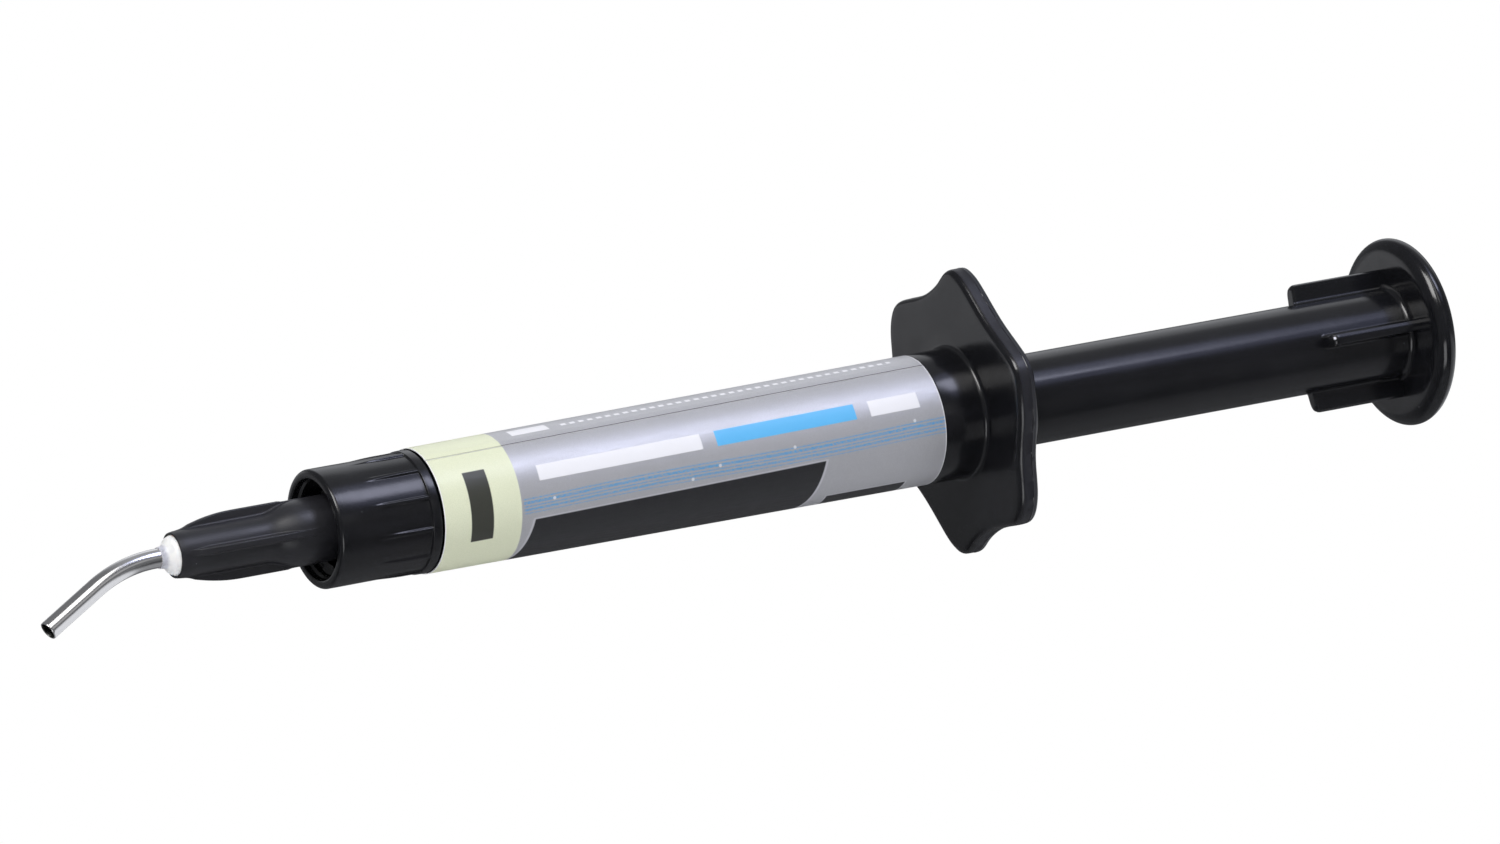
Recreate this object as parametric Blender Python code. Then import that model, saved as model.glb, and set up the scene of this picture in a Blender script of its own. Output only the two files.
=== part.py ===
"""Paste-dispensing syringe with a bent metal tip, built as separate solid pieces.

Frame: metres, +Z up, syringe axis on X.  The origin is the centre of the thumb
disc's rear face and the whole object lies at negative X: "front" is the needle
end (-X), "rear" the thumb end (+X).  Dimensions are in millimetres.
Names ending in _R are radii about the axis, names ending in _X places along it.
"""
import math

import bmesh
import bpy
from mathutils import Matrix, Vector

MM = 0.001
SHARP_ANGLE = math.radians(30)

# Segments around the axis
BODY_SEGMENTS = 36
ROD_SEGMENTS = 36
HUB_SEGMENTS = 28
INSERT_SEGMENTS = 20
CANNULA_SEGMENTS = 16

# Places and sizes that several pieces share
NOZZLE_TIP_X = -109.50
NOZZLE_TIP_R = 1.98
LUER_SLOPE = 0.03
LABEL_REAR_X = -50.70
LABEL_FRONT_X = -98.80
LABEL_REAR_R = 5.62
LABEL_FRONT_R = 5.34
LABEL_T = 0.15
THREAD_LEAD = 5.0
THREAD_ADVANCE = THREAD_LEAD / (2 * math.pi)  # travel along X per radian
LUG_X = -103.60
HUB_FRONT_X = -121.70
INSERT_R = 1.60
INSERT_SLEEVE_R = 1.25
CANNULA_R = 0.825


def nozzle_radius(x):
    return NOZZLE_TIP_R + LUER_SLOPE * (x - NOZZLE_TIP_X)


def label_radius(x):
    fraction = (x - LABEL_FRONT_X) / (LABEL_REAR_X - LABEL_FRONT_X)
    return LABEL_FRONT_R + (LABEL_REAR_R - LABEL_FRONT_R) * fraction


# ------------------------------------------------------------ mesh shapes
def add_loop(shape, points):
    """Add points given in millimetres and return their vertices."""
    return [shape.verts.new([value * MM for value in point]) for point in points]


def bridge(shape, loop_a, loop_b):
    """Join two closed loops of equal length with quads."""
    count = len(loop_a)
    for i in range(count):
        j = (i + 1) % count
        shape.faces.new((loop_a[i], loop_a[j], loop_b[j], loop_b[i]))


def lathe(profile, segments, closed=False):
    """Turn an (x, radius) profile about X.  A closed profile makes a ring."""
    shape = bmesh.new()
    rings = []
    for x, radius in profile:
        if radius == 0:
            points = [(x, 0, 0)]
        else:
            angles = [2 * math.pi * i / segments for i in range(segments)]
            points = [(x, radius * math.cos(a), radius * math.sin(a)) for a in angles]
        rings.append(add_loop(shape, points))
    pairs = list(zip(rings, rings[1:]))
    if closed:
        pairs.append((rings[-1], rings[0]))
    for first, second in pairs:
        for i in range(segments):
            j = (i + 1) % segments
            if len(first) == 1:
                corners = (first[0], second[i], second[j])
            elif len(second) == 1:
                corners = (first[i], second[0], first[j])
            else:
                corners = (first[i], second[i], second[j], first[j])
            shape.faces.new(corners)
    return shape


def skin(sections):
    """Join point loops of equal length into one body with capped ends."""
    shape = bmesh.new()
    loops = [add_loop(shape, section) for section in sections]
    for first, second in zip(loops, loops[1:]):
        bridge(shape, first, second)
    shape.faces.new(list(reversed(loops[0])))
    shape.faces.new(loops[-1])
    return shape


def join(shapes):
    """Gather several shapes in one mesh."""
    joined = bmesh.new()
    for shape in shapes:
        carrier_mesh = bpy.data.meshes.new("join")
        shape.to_mesh(carrier_mesh)
        shape.free()
        joined.from_mesh(carrier_mesh)
        bpy.data.meshes.remove(carrier_mesh)
    return joined


def radial_plate(stations, root_r, thickness, angle):
    """Plate along the axis, from root_r out to the radius in each (x, radius) station.

    The angle turns it from the -Y side towards +Z.
    """
    half = thickness / 2
    turn = Matrix.Rotation(-angle, 4, 'X')
    sections = []
    for x, outer_r in stations:
        corners = ((-root_r, -half), (-outer_r, -half), (-outer_r, half), (-root_r, half))
        sections.append([turn @ Vector((x, y, z)) for y, z in corners])
    return skin(sections)


def helix_bar(x_at_zero, angles, steps, radii, half_widths):
    """Trapezoid bar on a right-hand helix about X.

    angles is (start, end); radii and half_widths are (inner, outer).
    """
    start, end = angles
    inner_r, outer_r = radii
    inner_half, outer_half = half_widths
    corners = ((-inner_half, inner_r), (inner_half, inner_r),
               (outer_half, outer_r), (-outer_half, outer_r))
    sections = []
    for k in range(steps + 1):
        angle = start + (end - start) * k / steps
        x = x_at_zero + THREAD_ADVANCE * angle
        sections.append([(x + shift, radius * math.cos(angle), radius * math.sin(angle))
                         for shift, radius in corners])
    return skin(sections)


# ---------------------------------------------------------------- objects
def clear_scene():
    for item in list(bpy.data.objects):
        bpy.data.objects.remove(item, do_unlink=True)


def to_object(shape, name, origin_x):
    """Make an outward-facing object whose origin is on the axis at origin_x."""
    bmesh.ops.recalc_face_normals(shape, faces=shape.faces)
    if shape.calc_volume(signed=True) < 0:
        bmesh.ops.reverse_faces(shape, faces=shape.faces)
    bmesh.ops.translate(shape, verts=shape.verts, vec=Vector((-origin_x * MM, 0, 0)))
    mesh = bpy.data.meshes.new(name)
    shape.to_mesh(mesh)
    shape.free()
    item = bpy.data.objects.new(name, mesh)
    bpy.context.scene.collection.objects.link(item)
    item.location = (origin_x * MM, 0, 0)
    return item


def add_piece(shape, name, mat, origin_x=0.0):
    piece = to_object(shape, name, origin_x)
    piece.data.materials.append(mat)
    piece.data.shade_smooth()
    piece.data.set_sharp_from_angle(angle=SHARP_ANGLE)
    return piece


def add_boolean(piece, operation, shape, name, origin_x=0.0):
    """Join or cut the piece with a hidden helper object."""
    helper = to_object(shape, name, origin_x)
    helper.hide_render = True
    helper.display_type = 'WIRE'
    modifier = piece.modifiers.new(operation.lower() + "_" + name, 'BOOLEAN')
    modifier.object = helper
    modifier.operation = operation
    modifier.solver = 'EXACT'


def material(name, color, roughness, metallic=0.0):
    mat = bpy.data.materials.new(name)
    mat.use_nodes = True
    shader = mat.node_tree.nodes["Principled BSDF"]
    shader.inputs["Base Color"].default_value = (*color, 1.0)
    shader.inputs["Roughness"].default_value = roughness
    shader.inputs["Metallic"].default_value = metallic
    mat.diffuse_color = (*color, 1.0)
    return mat


# ---------------------------------------------------------- finger flange
FLANGE_REAR_X = -44.77
FLANGE_FRONT_X = -46.59
FLANGE_SPAN_SAMPLES = 2

# (y, z) of half the two-lobed outline, counter-clockwise with Y right and Z up;
# the other half is the same turned 180 degrees.
FLANGE_HALF = [
    (-3.6, 12.0), (-4.4, 11.4), (-5.6, 10.5), (-8.0, 7.1), (-10.2, 4.8),
    (-11.6, 2.9), (-11.6, 0.7), (-11.1, -1.8), (-9.6, -4.9), (-8.9, -8.1),
    (-7.3, -10.0), (-5.0, -10.4), (-1.5, -10.8), (1.0, -11.4)]

# (fraction of the thickness from the front face, inset of the outline)
FLANGE_EDGE = [(0.0, 0.50), (0.12, 0.17), (0.34, 0.0), (0.66, 0.0), (0.88, 0.17), (1.0, 0.50)]


def smooth_closed(points, samples):
    """Closed Catmull-Rom curve through the points, with samples for each span."""
    curve = []
    count = len(points)
    for i in range(count):
        before, start, end, after = (Vector(points[(i + k - 1) % count]) for k in range(4))
        for j in range(samples):
            t = j / samples
            curve.append(0.5 * (
                (2 * start) + (end - before) * t
                + (2 * before - 5 * start + 4 * end - after) * t * t
                + (3 * start - before - 3 * end + after) * t ** 3))
    return curve


def offset_inward(points, distance):
    """Move each point of a counter-clockwise outline inward along its normal."""
    count = len(points)
    moved = []
    for i in range(count):
        tangent = (points[(i + 1) % count] - points[i - 1]).normalized()
        moved.append(points[i] + Vector((-tangent.y, tangent.x)) * distance)
    return moved


def flange_plate():
    outline = smooth_closed(FLANGE_HALF + [(-y, -z) for y, z in FLANGE_HALF],
                            FLANGE_SPAN_SAMPLES)
    thickness = FLANGE_REAR_X - FLANGE_FRONT_X
    sections = []
    for fraction, inset in FLANGE_EDGE:
        x = FLANGE_FRONT_X + thickness * fraction
        sections.append([(x, y, z) for y, z in offset_inward(outline, inset)])
    return skin(sections)


# ------------------------------------------------------- barrel and label
BARREL_REAR_X = -41.36
STUB_R = 5.46
STUB_CHAMFER = 0.22
BODY_REAR_R = 5.68
LABEL_GAP = 0.10         # between the label and the seat under it
SEAT_REAR_X = LABEL_REAR_X + 0.2
SHOULDER_X = -98.90
SHOULDER_CHAMFER = 0.25
BORE_R = 4.12
BORE_FRONT_X = -97.10
BORE_CUT_ORIGIN_X = -97.0
NECK_R = 3.30
NECK_FRONT_X = -101.45
BEAD_R = 3.62
BEAD_REAR_X = -100.75
NOZZLE_BORE_R = 1.00
NOZZLE_EDGE_X = NOZZLE_TIP_X + 0.25


def build_barrel(mat):
    seat_depth = LABEL_T + LABEL_GAP
    shoulder_r = label_radius(SHOULDER_X) - seat_depth
    profile = [
        # rear stub and step up to the body
        (BARREL_REAR_X, 0), (BARREL_REAR_X, STUB_R - STUB_CHAMFER),
        (BARREL_REAR_X - STUB_CHAMFER, STUB_R), (-45.20, STUB_R), (-45.90, BODY_REAR_R),
        # label seat and front shoulder
        (SEAT_REAR_X, LABEL_REAR_R), (SEAT_REAR_X, LABEL_REAR_R - seat_depth),
        (SHOULDER_X + SHOULDER_CHAMFER, shoulder_r),
        (SHOULDER_X, shoulder_r - SHOULDER_CHAMFER),
        # neck with its bead
        (SHOULDER_X, NECK_R), (BEAD_REAR_X, NECK_R), (BEAD_REAR_X, BEAD_R),
        (-101.05, BEAD_R), (NECK_FRONT_X, NECK_R),
        # tapered nozzle
        (NECK_FRONT_X, nozzle_radius(NECK_FRONT_X)),
        (NOZZLE_EDGE_X, nozzle_radius(NOZZLE_EDGE_X)),
        (NOZZLE_TIP_X, NOZZLE_TIP_R - 0.2), (NOZZLE_TIP_X, 0)]
    barrel = add_piece(lathe(profile, BODY_SEGMENTS), "barrel", mat, FLANGE_FRONT_X)
    add_boolean(barrel, 'UNION', flange_plate(), "tool_flange", FLANGE_FRONT_X)
    # The cut runs past both ends and flares at the rear mouth.
    bore = [
        (-112.0, 0), (-112.0, NOZZLE_BORE_R), (BORE_FRONT_X, NOZZLE_BORE_R),
        (BORE_FRONT_X, BORE_R), (-41.90, BORE_R), (BARREL_REAR_X, 4.48),
        (-40.9, 4.79), (-40.9, 0)]
    add_boolean(barrel, 'DIFFERENCE', lathe(bore, BODY_SEGMENTS), "tool_bore",
                BORE_CUT_ORIGIN_X)


def build_label(mat):
    profile = [
        (LABEL_FRONT_X, LABEL_FRONT_R), (LABEL_REAR_X, LABEL_REAR_R),
        (LABEL_REAR_X, LABEL_REAR_R - LABEL_T), (LABEL_FRONT_X, LABEL_FRONT_R - LABEL_T)]
    add_piece(lathe(profile, BODY_SEGMENTS, closed=True), "label_wrap", mat, LABEL_FRONT_X)


# ------------------------------------------------------------ lock collar
COLLAR_REAR_X = -99.15
COLLAR_FRONT_X = -108.57
COLLAR_R = 5.06
COLLAR_RING_R = 5.26
COLLAR_STEP_X = -100.05
COLLAR_BORE_R = 4.10
COLLAR_WALL_X = -100.55
COLLAR_HOLE_R = 3.40
COLLAR_RIB_COUNT = 12
COLLAR_RIB_FIRST = math.radians(10.5)
COLLAR_RIB_T = 0.36
COLLAR_RIB_ROOT_R = 4.60
# (x, outer radius)
COLLAR_RIB_LINE = [
    (-105.2, COLLAR_R - 0.02), (-104.6, COLLAR_R + 0.05), (-99.6, COLLAR_RING_R - 0.06)]
THREAD_STARTS = 2
THREAD_STEPS = 20
THREAD_FRONT_X = -107.2
THREAD_REAR_X = -101.9
THREAD_CREST_R = 3.45
THREAD_ROOT_R = 4.35
THREAD_HALF_WIDTHS = (0.22, 0.52)  # at the crest, at the root


def collar_threads():
    """Two-start inner thread whose ridges pass a quarter lead from the hub lugs."""
    first_x = LUG_X - THREAD_LEAD / 4 - THREAD_ADVANCE * math.pi / 2
    threads = []
    for start in range(THREAD_STARTS):
        x_at_zero = first_x - start * THREAD_LEAD / THREAD_STARTS
        angles = [(x - x_at_zero) / THREAD_ADVANCE for x in (THREAD_FRONT_X, THREAD_REAR_X)]
        threads.append(helix_bar(x_at_zero, angles, THREAD_STEPS,
                                 radii=(THREAD_CREST_R, THREAD_ROOT_R),
                                 half_widths=THREAD_HALF_WIDTHS))
    return join(threads)


def build_collar(mat):
    profile = [
        # rear ring and step down to the sleeve
        (COLLAR_REAR_X, COLLAR_HOLE_R), (COLLAR_REAR_X, COLLAR_RING_R - 0.10),
        (COLLAR_REAR_X - 0.12, COLLAR_RING_R), (COLLAR_STEP_X + 0.1, COLLAR_RING_R - 0.03),
        (COLLAR_STEP_X, COLLAR_R),
        # rounded front edge
        (COLLAR_FRONT_X + 0.47, COLLAR_R), (COLLAR_FRONT_X + 0.13, COLLAR_R - 0.13),
        (COLLAR_FRONT_X, COLLAR_R - 0.44),
        # flared mouth, bore and rear wall
        (COLLAR_FRONT_X, 4.50), (COLLAR_FRONT_X + 0.3, 4.28),
        (COLLAR_FRONT_X + 0.7, COLLAR_BORE_R), (COLLAR_WALL_X, COLLAR_BORE_R),
        (COLLAR_WALL_X, COLLAR_HOLE_R)]
    collar = add_piece(lathe(profile, BODY_SEGMENTS, closed=True), "lock_collar", mat,
                       COLLAR_REAR_X)
    ribs = [radial_plate(COLLAR_RIB_LINE, COLLAR_RIB_ROOT_R, COLLAR_RIB_T,
                         COLLAR_RIB_FIRST - 2 * math.pi * k / COLLAR_RIB_COUNT)
            for k in range(COLLAR_RIB_COUNT)]
    add_boolean(collar, 'UNION', join(ribs), "tool_collar_ribs")
    add_boolean(collar, 'UNION', collar_threads(), "tool_collar_thread")


# ------------------------------------------------------------- needle hub
HUB_REAR_X = -102.60
HUB_REAR_R = 2.80
HUB_REAR_CHAMFER = 0.15
HUB_SHAFT_R = 2.00
HUB_RIB_COUNT = 4
HUB_RIB_T = 0.58
HUB_RIB_ROOT_R = 1.75
HUB_RIB_TURN = math.radians(-4.0)
# (x, outer radius)
HUB_RIB_LINE = [
    (HUB_FRONT_X + 0.12, 1.86), (-120.6, 2.15), (-119.6, 2.40), (-118.7, 2.61),
    (-117.7, 2.77), (-116.7, 2.86), (-109.4, 2.88), (-108.9, 2.74)]
LUG_COUNT = 2
LUG_STEPS = 6
LUG_ROOT_R = 2.55
LUG_OUT_R = 3.85
LUG_SPAN = math.radians(60)
LUG_T = 1.0              # at mid height
LUG_DRAFT = 0.06         # half-width gained at the root and lost at the outside
SOCKET_REAR_X = -102.0   # beyond the hub's rear face
SOCKET_GAP = 0.10
SOCKET_FLOOR_X = -110.0
HUB_PASSAGE_R = 0.98
SLEEVE_HOLE_R = INSERT_SLEEVE_R + 0.09
INSERT_HOLE_R = INSERT_R + 0.08


def hub_lugs():
    lugs = []
    for k in range(LUG_COUNT):
        middle = math.pi / 2 + k * math.pi
        lugs.append(helix_bar(LUG_X - THREAD_ADVANCE * middle,
                              (middle - LUG_SPAN / 2, middle + LUG_SPAN / 2), LUG_STEPS,
                              radii=(LUG_ROOT_R, LUG_OUT_R),
                              half_widths=(LUG_T / 2 + LUG_DRAFT, LUG_T / 2 - LUG_DRAFT)))
    return join(lugs)


def build_hub(mat):
    profile = [
        (HUB_REAR_X, 0), (HUB_REAR_X, HUB_REAR_R - HUB_REAR_CHAMFER),
        (HUB_REAR_X - HUB_REAR_CHAMFER, HUB_REAR_R), (-110.90, HUB_REAR_R),
        (-111.45, 2.64), (-112.40, HUB_SHAFT_R), (HUB_FRONT_X + 0.35, HUB_SHAFT_R),
        (HUB_FRONT_X, HUB_SHAFT_R - 0.14), (HUB_FRONT_X, 0)]
    hub = add_piece(lathe(profile, HUB_SEGMENTS), "needle_hub", mat, HUB_REAR_X)
    ribs = [radial_plate(HUB_RIB_LINE, HUB_RIB_ROOT_R, HUB_RIB_T,
                         HUB_RIB_TURN + k * math.pi / 2)
            for k in range(HUB_RIB_COUNT)]
    add_boolean(hub, 'UNION', join(ribs), "tool_hub_ribs")
    add_boolean(hub, 'UNION', hub_lugs(), "tool_hub_lugs")
    bore = [
        # tapered socket over the nozzle
        (SOCKET_REAR_X, 0), (SOCKET_REAR_X, nozzle_radius(SOCKET_REAR_X) + SOCKET_GAP),
        (SOCKET_FLOOR_X, nozzle_radius(SOCKET_FLOOR_X) + SOCKET_GAP),
        # passage, then the stepped hole for the insert
        (SOCKET_FLOOR_X, HUB_PASSAGE_R), (-115.5, HUB_PASSAGE_R),
        (-115.5, SLEEVE_HOLE_R), (-120.4, SLEEVE_HOLE_R),
        (-120.4, INSERT_HOLE_R), (-122.3, INSERT_HOLE_R), (-122.3, 0)]
    add_boolean(hub, 'DIFFERENCE', lathe(bore, HUB_SEGMENTS), "tool_hub_bore")


# ----------------------------------------------- needle insert and cannula
INSERT_NECK_R = 1.00
INSERT_TIP_X = -123.04
INSERT_HEAD_X = -120.55
INSERT_REAR_X = -115.8
INSERT_BORE_R = CANNULA_R + 0.06
CANNULA_IN_R = 0.65
CANNULA_REAR_X = -113.0
BEND_START_X = -123.24
BEND_R = 12.0            # of the cannula's centre line
BEND_ANGLE = math.radians(29.2)
BEND_STEPS = 7
BEND_TAIL = 5.63         # straight length after the bend


def build_insert(mat):
    profile = [
        (INSERT_REAR_X, INSERT_BORE_R), (INSERT_REAR_X, INSERT_SLEEVE_R),
        (INSERT_HEAD_X, INSERT_SLEEVE_R), (INSERT_HEAD_X, INSERT_R),
        (-121.55, INSERT_R), (-121.85, INSERT_R - 0.18), (-122.10, 1.20),
        (-122.40, INSERT_NECK_R + 0.03), (INSERT_TIP_X, INSERT_NECK_R),
        (INSERT_TIP_X, INSERT_BORE_R)]
    add_piece(lathe(profile, INSERT_SEGMENTS, closed=True), "needle_insert", mat, HUB_FRONT_X)


def cannula_path():
    """Centre line as (x, z, downward angle), from the rear end to the tip."""
    path = [(CANNULA_REAR_X, 0.0, 0.0), (BEND_START_X, 0.0, 0.0)]
    for k in range(1, BEND_STEPS + 1):
        angle = BEND_ANGLE * k / BEND_STEPS
        path.append((BEND_START_X - BEND_R * math.sin(angle),
                     -BEND_R * (1 - math.cos(angle)), angle))
    x, z, angle = path[-1]
    path.append((x - BEND_TAIL * math.cos(angle), z - BEND_TAIL * math.sin(angle), angle))
    return path


def tube_wall(shape, path, radius):
    """Sweep a circle along the path and return its vertex loops."""
    side = Vector((0, 1, 0))
    loops = []
    for x, z, angle in path:
        centre = Vector((x, 0, z))
        up = Vector((-math.sin(angle), 0, math.cos(angle)))
        turns = [2 * math.pi * i / CANNULA_SEGMENTS for i in range(CANNULA_SEGMENTS)]
        loops.append(add_loop(shape, [
            centre + side * (radius * math.cos(turn)) + up * (radius * math.sin(turn))
            for turn in turns]))
    for first, second in zip(loops, loops[1:]):
        bridge(shape, first, second)
    return loops


def build_cannula(mat):
    shape = bmesh.new()
    path = cannula_path()
    outer = tube_wall(shape, path, CANNULA_R)
    inner = tube_wall(shape, path, CANNULA_IN_R)
    for end in (0, -1):
        bridge(shape, outer[end], inner[end])
    add_piece(shape, "cannula", mat, BEND_START_X)


# ----------------------------------------------------- gasket and carrier
GASKET_R = 4.05
GASKET_WAIST_R = GASKET_R - 0.35
GASKET_FRONT_X = -67.60
GASKET_REAR_X = -62.30
GASKET_CHAMFER = 0.2
CARRIER_DISC_X = -62.15  # front face of the carrier's disc


def build_gasket(mat):
    profile = [
        # three sealing bands with waists between them
        (GASKET_FRONT_X, 0), (GASKET_FRONT_X, 3.1), (-67.15, GASKET_R), (-66.45, GASKET_R),
        (-66.15, GASKET_WAIST_R), (-65.45, GASKET_WAIST_R),
        (-65.15, GASKET_R), (-64.45, GASKET_R),
        (-64.15, GASKET_WAIST_R), (-63.45, GASKET_WAIST_R),
        (-63.15, GASKET_R), (GASKET_REAR_X - GASKET_CHAMFER, GASKET_R),
        (GASKET_REAR_X, GASKET_R - GASKET_CHAMFER),
        # undercut pocket for the carrier's head
        (GASKET_REAR_X, 1.75), (-63.60, 1.75), (-63.60, 2.55), (-65.60, 2.55),
        (-66.20, 1.60), (-66.20, 0)]
    add_piece(lathe(profile, HUB_SEGMENTS), "gasket", mat, GASKET_FRONT_X)


def build_carrier(mat):
    profile = [
        # head and neck
        (-66.05, 0), (-66.05, 1.45), (-65.50, 2.35), (-63.72, 2.42), (-63.72, 1.62),
        # disc
        (CARRIER_DISC_X, 1.62), (CARRIER_DISC_X, 3.60), (-61.45, 3.60),
        # spigot in the rod's bore
        (-61.45, 2.48), (-56.4, 2.46), (-56.0, 2.2), (-56.0, 0)]
    add_piece(lathe(profile, HUB_SEGMENTS), "gasket_carrier", mat, CARRIER_DISC_X)


# ------------------------------------------------- plunger rod and O-ring
DISC_R = 8.30
DISC_T = 2.18
RIM_STEPS = 6
ROD_R = 3.95
ROD_FRONT_X = -61.30
ROD_CHAMFER = 0.25
ROD_BORE_R = 2.60        # blind bore, open at the front
ROD_BORE_END_X = -14.0
GROOVE_X = -54.0
GROOVE_HALF = 0.55
GROOVE_R = 3.10
FIN_COUNT = 4
FIN_ROOT_R = 3.3
FIN_OUT_R = 5.70
FIN_T = 1.00
FIN_FRONT_X = -11.30
FIN_TURN = math.radians(3.5)
# (x, outer radius); the rear end lies inside the disc
FIN_LINE = [
    (FIN_FRONT_X, 5.0), (FIN_FRONT_X + 0.15, 5.42), (FIN_FRONT_X + 0.5, FIN_OUT_R),
    (-1.2, FIN_OUT_R)]
O_RING_CENTRE_R = 3.58
O_RING_SECTION_R = 0.42
O_RING_SECTION_POINTS = 8


def build_rod(mat):
    groove_front_x = GROOVE_X - GROOVE_HALF
    groove_rear_x = GROOVE_X + GROOVE_HALF
    profile = [
        (ROD_BORE_END_X, 0), (ROD_BORE_END_X, ROD_BORE_R), (ROD_FRONT_X, ROD_BORE_R),
        (ROD_FRONT_X, ROD_R - ROD_CHAMFER), (ROD_FRONT_X + ROD_CHAMFER, ROD_R),
        (groove_front_x, ROD_R), (groove_front_x, GROOVE_R),
        (groove_rear_x, GROOVE_R), (groove_rear_x, ROD_R),
        # fillet into the disc
        (-DISC_T - 0.45, ROD_R), (-DISC_T - 0.12, ROD_R + 0.12), (-DISC_T, ROD_R + 0.45)]
    rim_r = DISC_T / 2
    for k in range(RIM_STEPS + 1):
        angle = math.pi * k / RIM_STEPS
        profile.append((-rim_r - rim_r * math.cos(angle),
                        DISC_R - rim_r + rim_r * math.sin(angle)))
    profile.append((0.0, 0))
    rod = add_piece(lathe(profile, ROD_SEGMENTS), "plunger_rod", mat)
    fins = [radial_plate(FIN_LINE, FIN_ROOT_R, FIN_T, FIN_TURN + k * math.pi / 2)
            for k in range(FIN_COUNT)]
    add_boolean(rod, 'UNION', join(fins), "tool_fins")


def build_o_ring(mat):
    profile = []
    for k in range(O_RING_SECTION_POINTS):
        angle = 2 * math.pi * k / O_RING_SECTION_POINTS
        profile.append((GROOVE_X + O_RING_SECTION_R * math.cos(angle),
                        O_RING_CENTRE_R + O_RING_SECTION_R * math.sin(angle)))
    add_piece(lathe(profile, HUB_SEGMENTS, closed=True), "plunger_o_ring", mat, GROOVE_X)


# ------------------------------------------------------------------ build
def main():
    clear_scene()
    build_barrel(material("black_gloss_plastic", color=(0.018, 0.019, 0.024), roughness=0.22))
    build_label(material("silver_label_film", color=(0.42, 0.42, 0.46), roughness=0.35,
                         metallic=0.6))
    build_collar(material("black_collar_plastic", color=(0.020, 0.021, 0.026), roughness=0.26))
    build_hub(material("black_satin_plastic", color=(0.030, 0.032, 0.038), roughness=0.42))
    build_insert(material("white_insert_plastic", color=(0.80, 0.80, 0.78), roughness=0.40))
    build_cannula(material("bright_steel", color=(0.62, 0.62, 0.60), roughness=0.18,
                           metallic=1.0))
    build_gasket(material("black_rubber", color=(0.02, 0.02, 0.02), roughness=0.70))
    build_carrier(material("grey_carrier_plastic", color=(0.20, 0.20, 0.21), roughness=0.40))
    build_rod(material("black_rod_plastic", color=(0.018, 0.019, 0.023), roughness=0.20))
    build_o_ring(material("o_ring_rubber", color=(0.03, 0.03, 0.03), roughness=0.60))


main()
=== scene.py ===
"""Looks for the paste-dispensing syringe: fine surfaces, finishes, light and camera.

Lengths in the geometry code are millimetres and are written to the meshes in metres.  Angles round the
axis are measured from the -Y side, positive towards -Z ("alpha").
"""
import math

import bmesh
import bpy
import numpy as np
from mathutils import Matrix, Vector, noise


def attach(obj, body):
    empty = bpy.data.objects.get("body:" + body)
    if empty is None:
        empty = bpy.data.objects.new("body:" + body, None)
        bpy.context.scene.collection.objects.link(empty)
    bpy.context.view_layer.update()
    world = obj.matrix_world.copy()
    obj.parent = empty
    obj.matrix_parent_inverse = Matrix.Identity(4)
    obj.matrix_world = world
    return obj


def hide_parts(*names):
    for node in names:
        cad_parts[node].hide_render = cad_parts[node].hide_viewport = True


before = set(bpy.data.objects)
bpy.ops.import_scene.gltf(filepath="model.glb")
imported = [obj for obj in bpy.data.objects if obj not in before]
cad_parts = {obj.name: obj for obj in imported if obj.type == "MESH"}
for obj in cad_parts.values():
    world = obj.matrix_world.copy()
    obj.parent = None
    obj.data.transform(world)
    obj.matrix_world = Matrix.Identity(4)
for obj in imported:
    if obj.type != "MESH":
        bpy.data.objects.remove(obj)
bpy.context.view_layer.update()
MM = 0.001
rng = np.random.default_rng(7)
scene = bpy.context.scene


# ------------------------------------------------------------------ mesh kit
def polar(x, r, alpha):
    """Point at axial x, radius r and angle alpha (arrays allowed)."""
    x, r, alpha = np.broadcast_arrays(np.asarray(x, float), np.asarray(r, float), np.asarray(alpha, float))
    return np.stack([x, -r * np.cos(alpha), -r * np.sin(alpha)], -1)


def make_mesh(name, verts, faces, mats, sharp=38.0, face_mat=None, uv=None):
    me = bpy.data.meshes.new(name)
    me.from_pydata((np.asarray(verts) * MM).tolist(), [], [tuple(f) for f in faces])
    for m in mats:
        me.materials.append(m)
    if face_mat is not None:
        me.polygons.foreach_set("material_index", np.asarray(face_mat, np.int32))
    if uv is not None:
        layer = me.uv_layers.new(name="surface")
        idx = np.zeros(len(me.loops), np.int32)
        me.loops.foreach_get("vertex_index", idx)
        layer.data.foreach_set("uv", np.asarray(uv, float)[idx].astype(np.float32).ravel())
    me.validate()
    me.update()
    me.shade_smooth()
    me.set_sharp_from_angle(angle=math.radians(sharp))
    ob = bpy.data.objects.new(name, me)
    scene.collection.objects.link(ob)
    return ob


def weld(ob):
    """Merge points that coincide, so that no face has zero area."""
    bm = bmesh.new()
    bm.from_mesh(ob.data)
    bmesh.ops.remove_doubles(bm, verts=bm.verts, dist=2e-7)
    bm.to_mesh(ob.data)
    bm.free()
    ob.data.update()


def orient(verts, faces):
    """Turn a closed mesh's faces outward if its signed volume is negative."""
    v = np.asarray(verts)
    vol = 0.0
    for f in faces:
        a = v[f[0]]
        for i in range(1, len(f) - 1):
            vol += np.dot(a, np.cross(v[f[i]], v[f[i + 1]]))
    return faces if vol > 0 else [tuple(reversed(f)) for f in faces]


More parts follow.
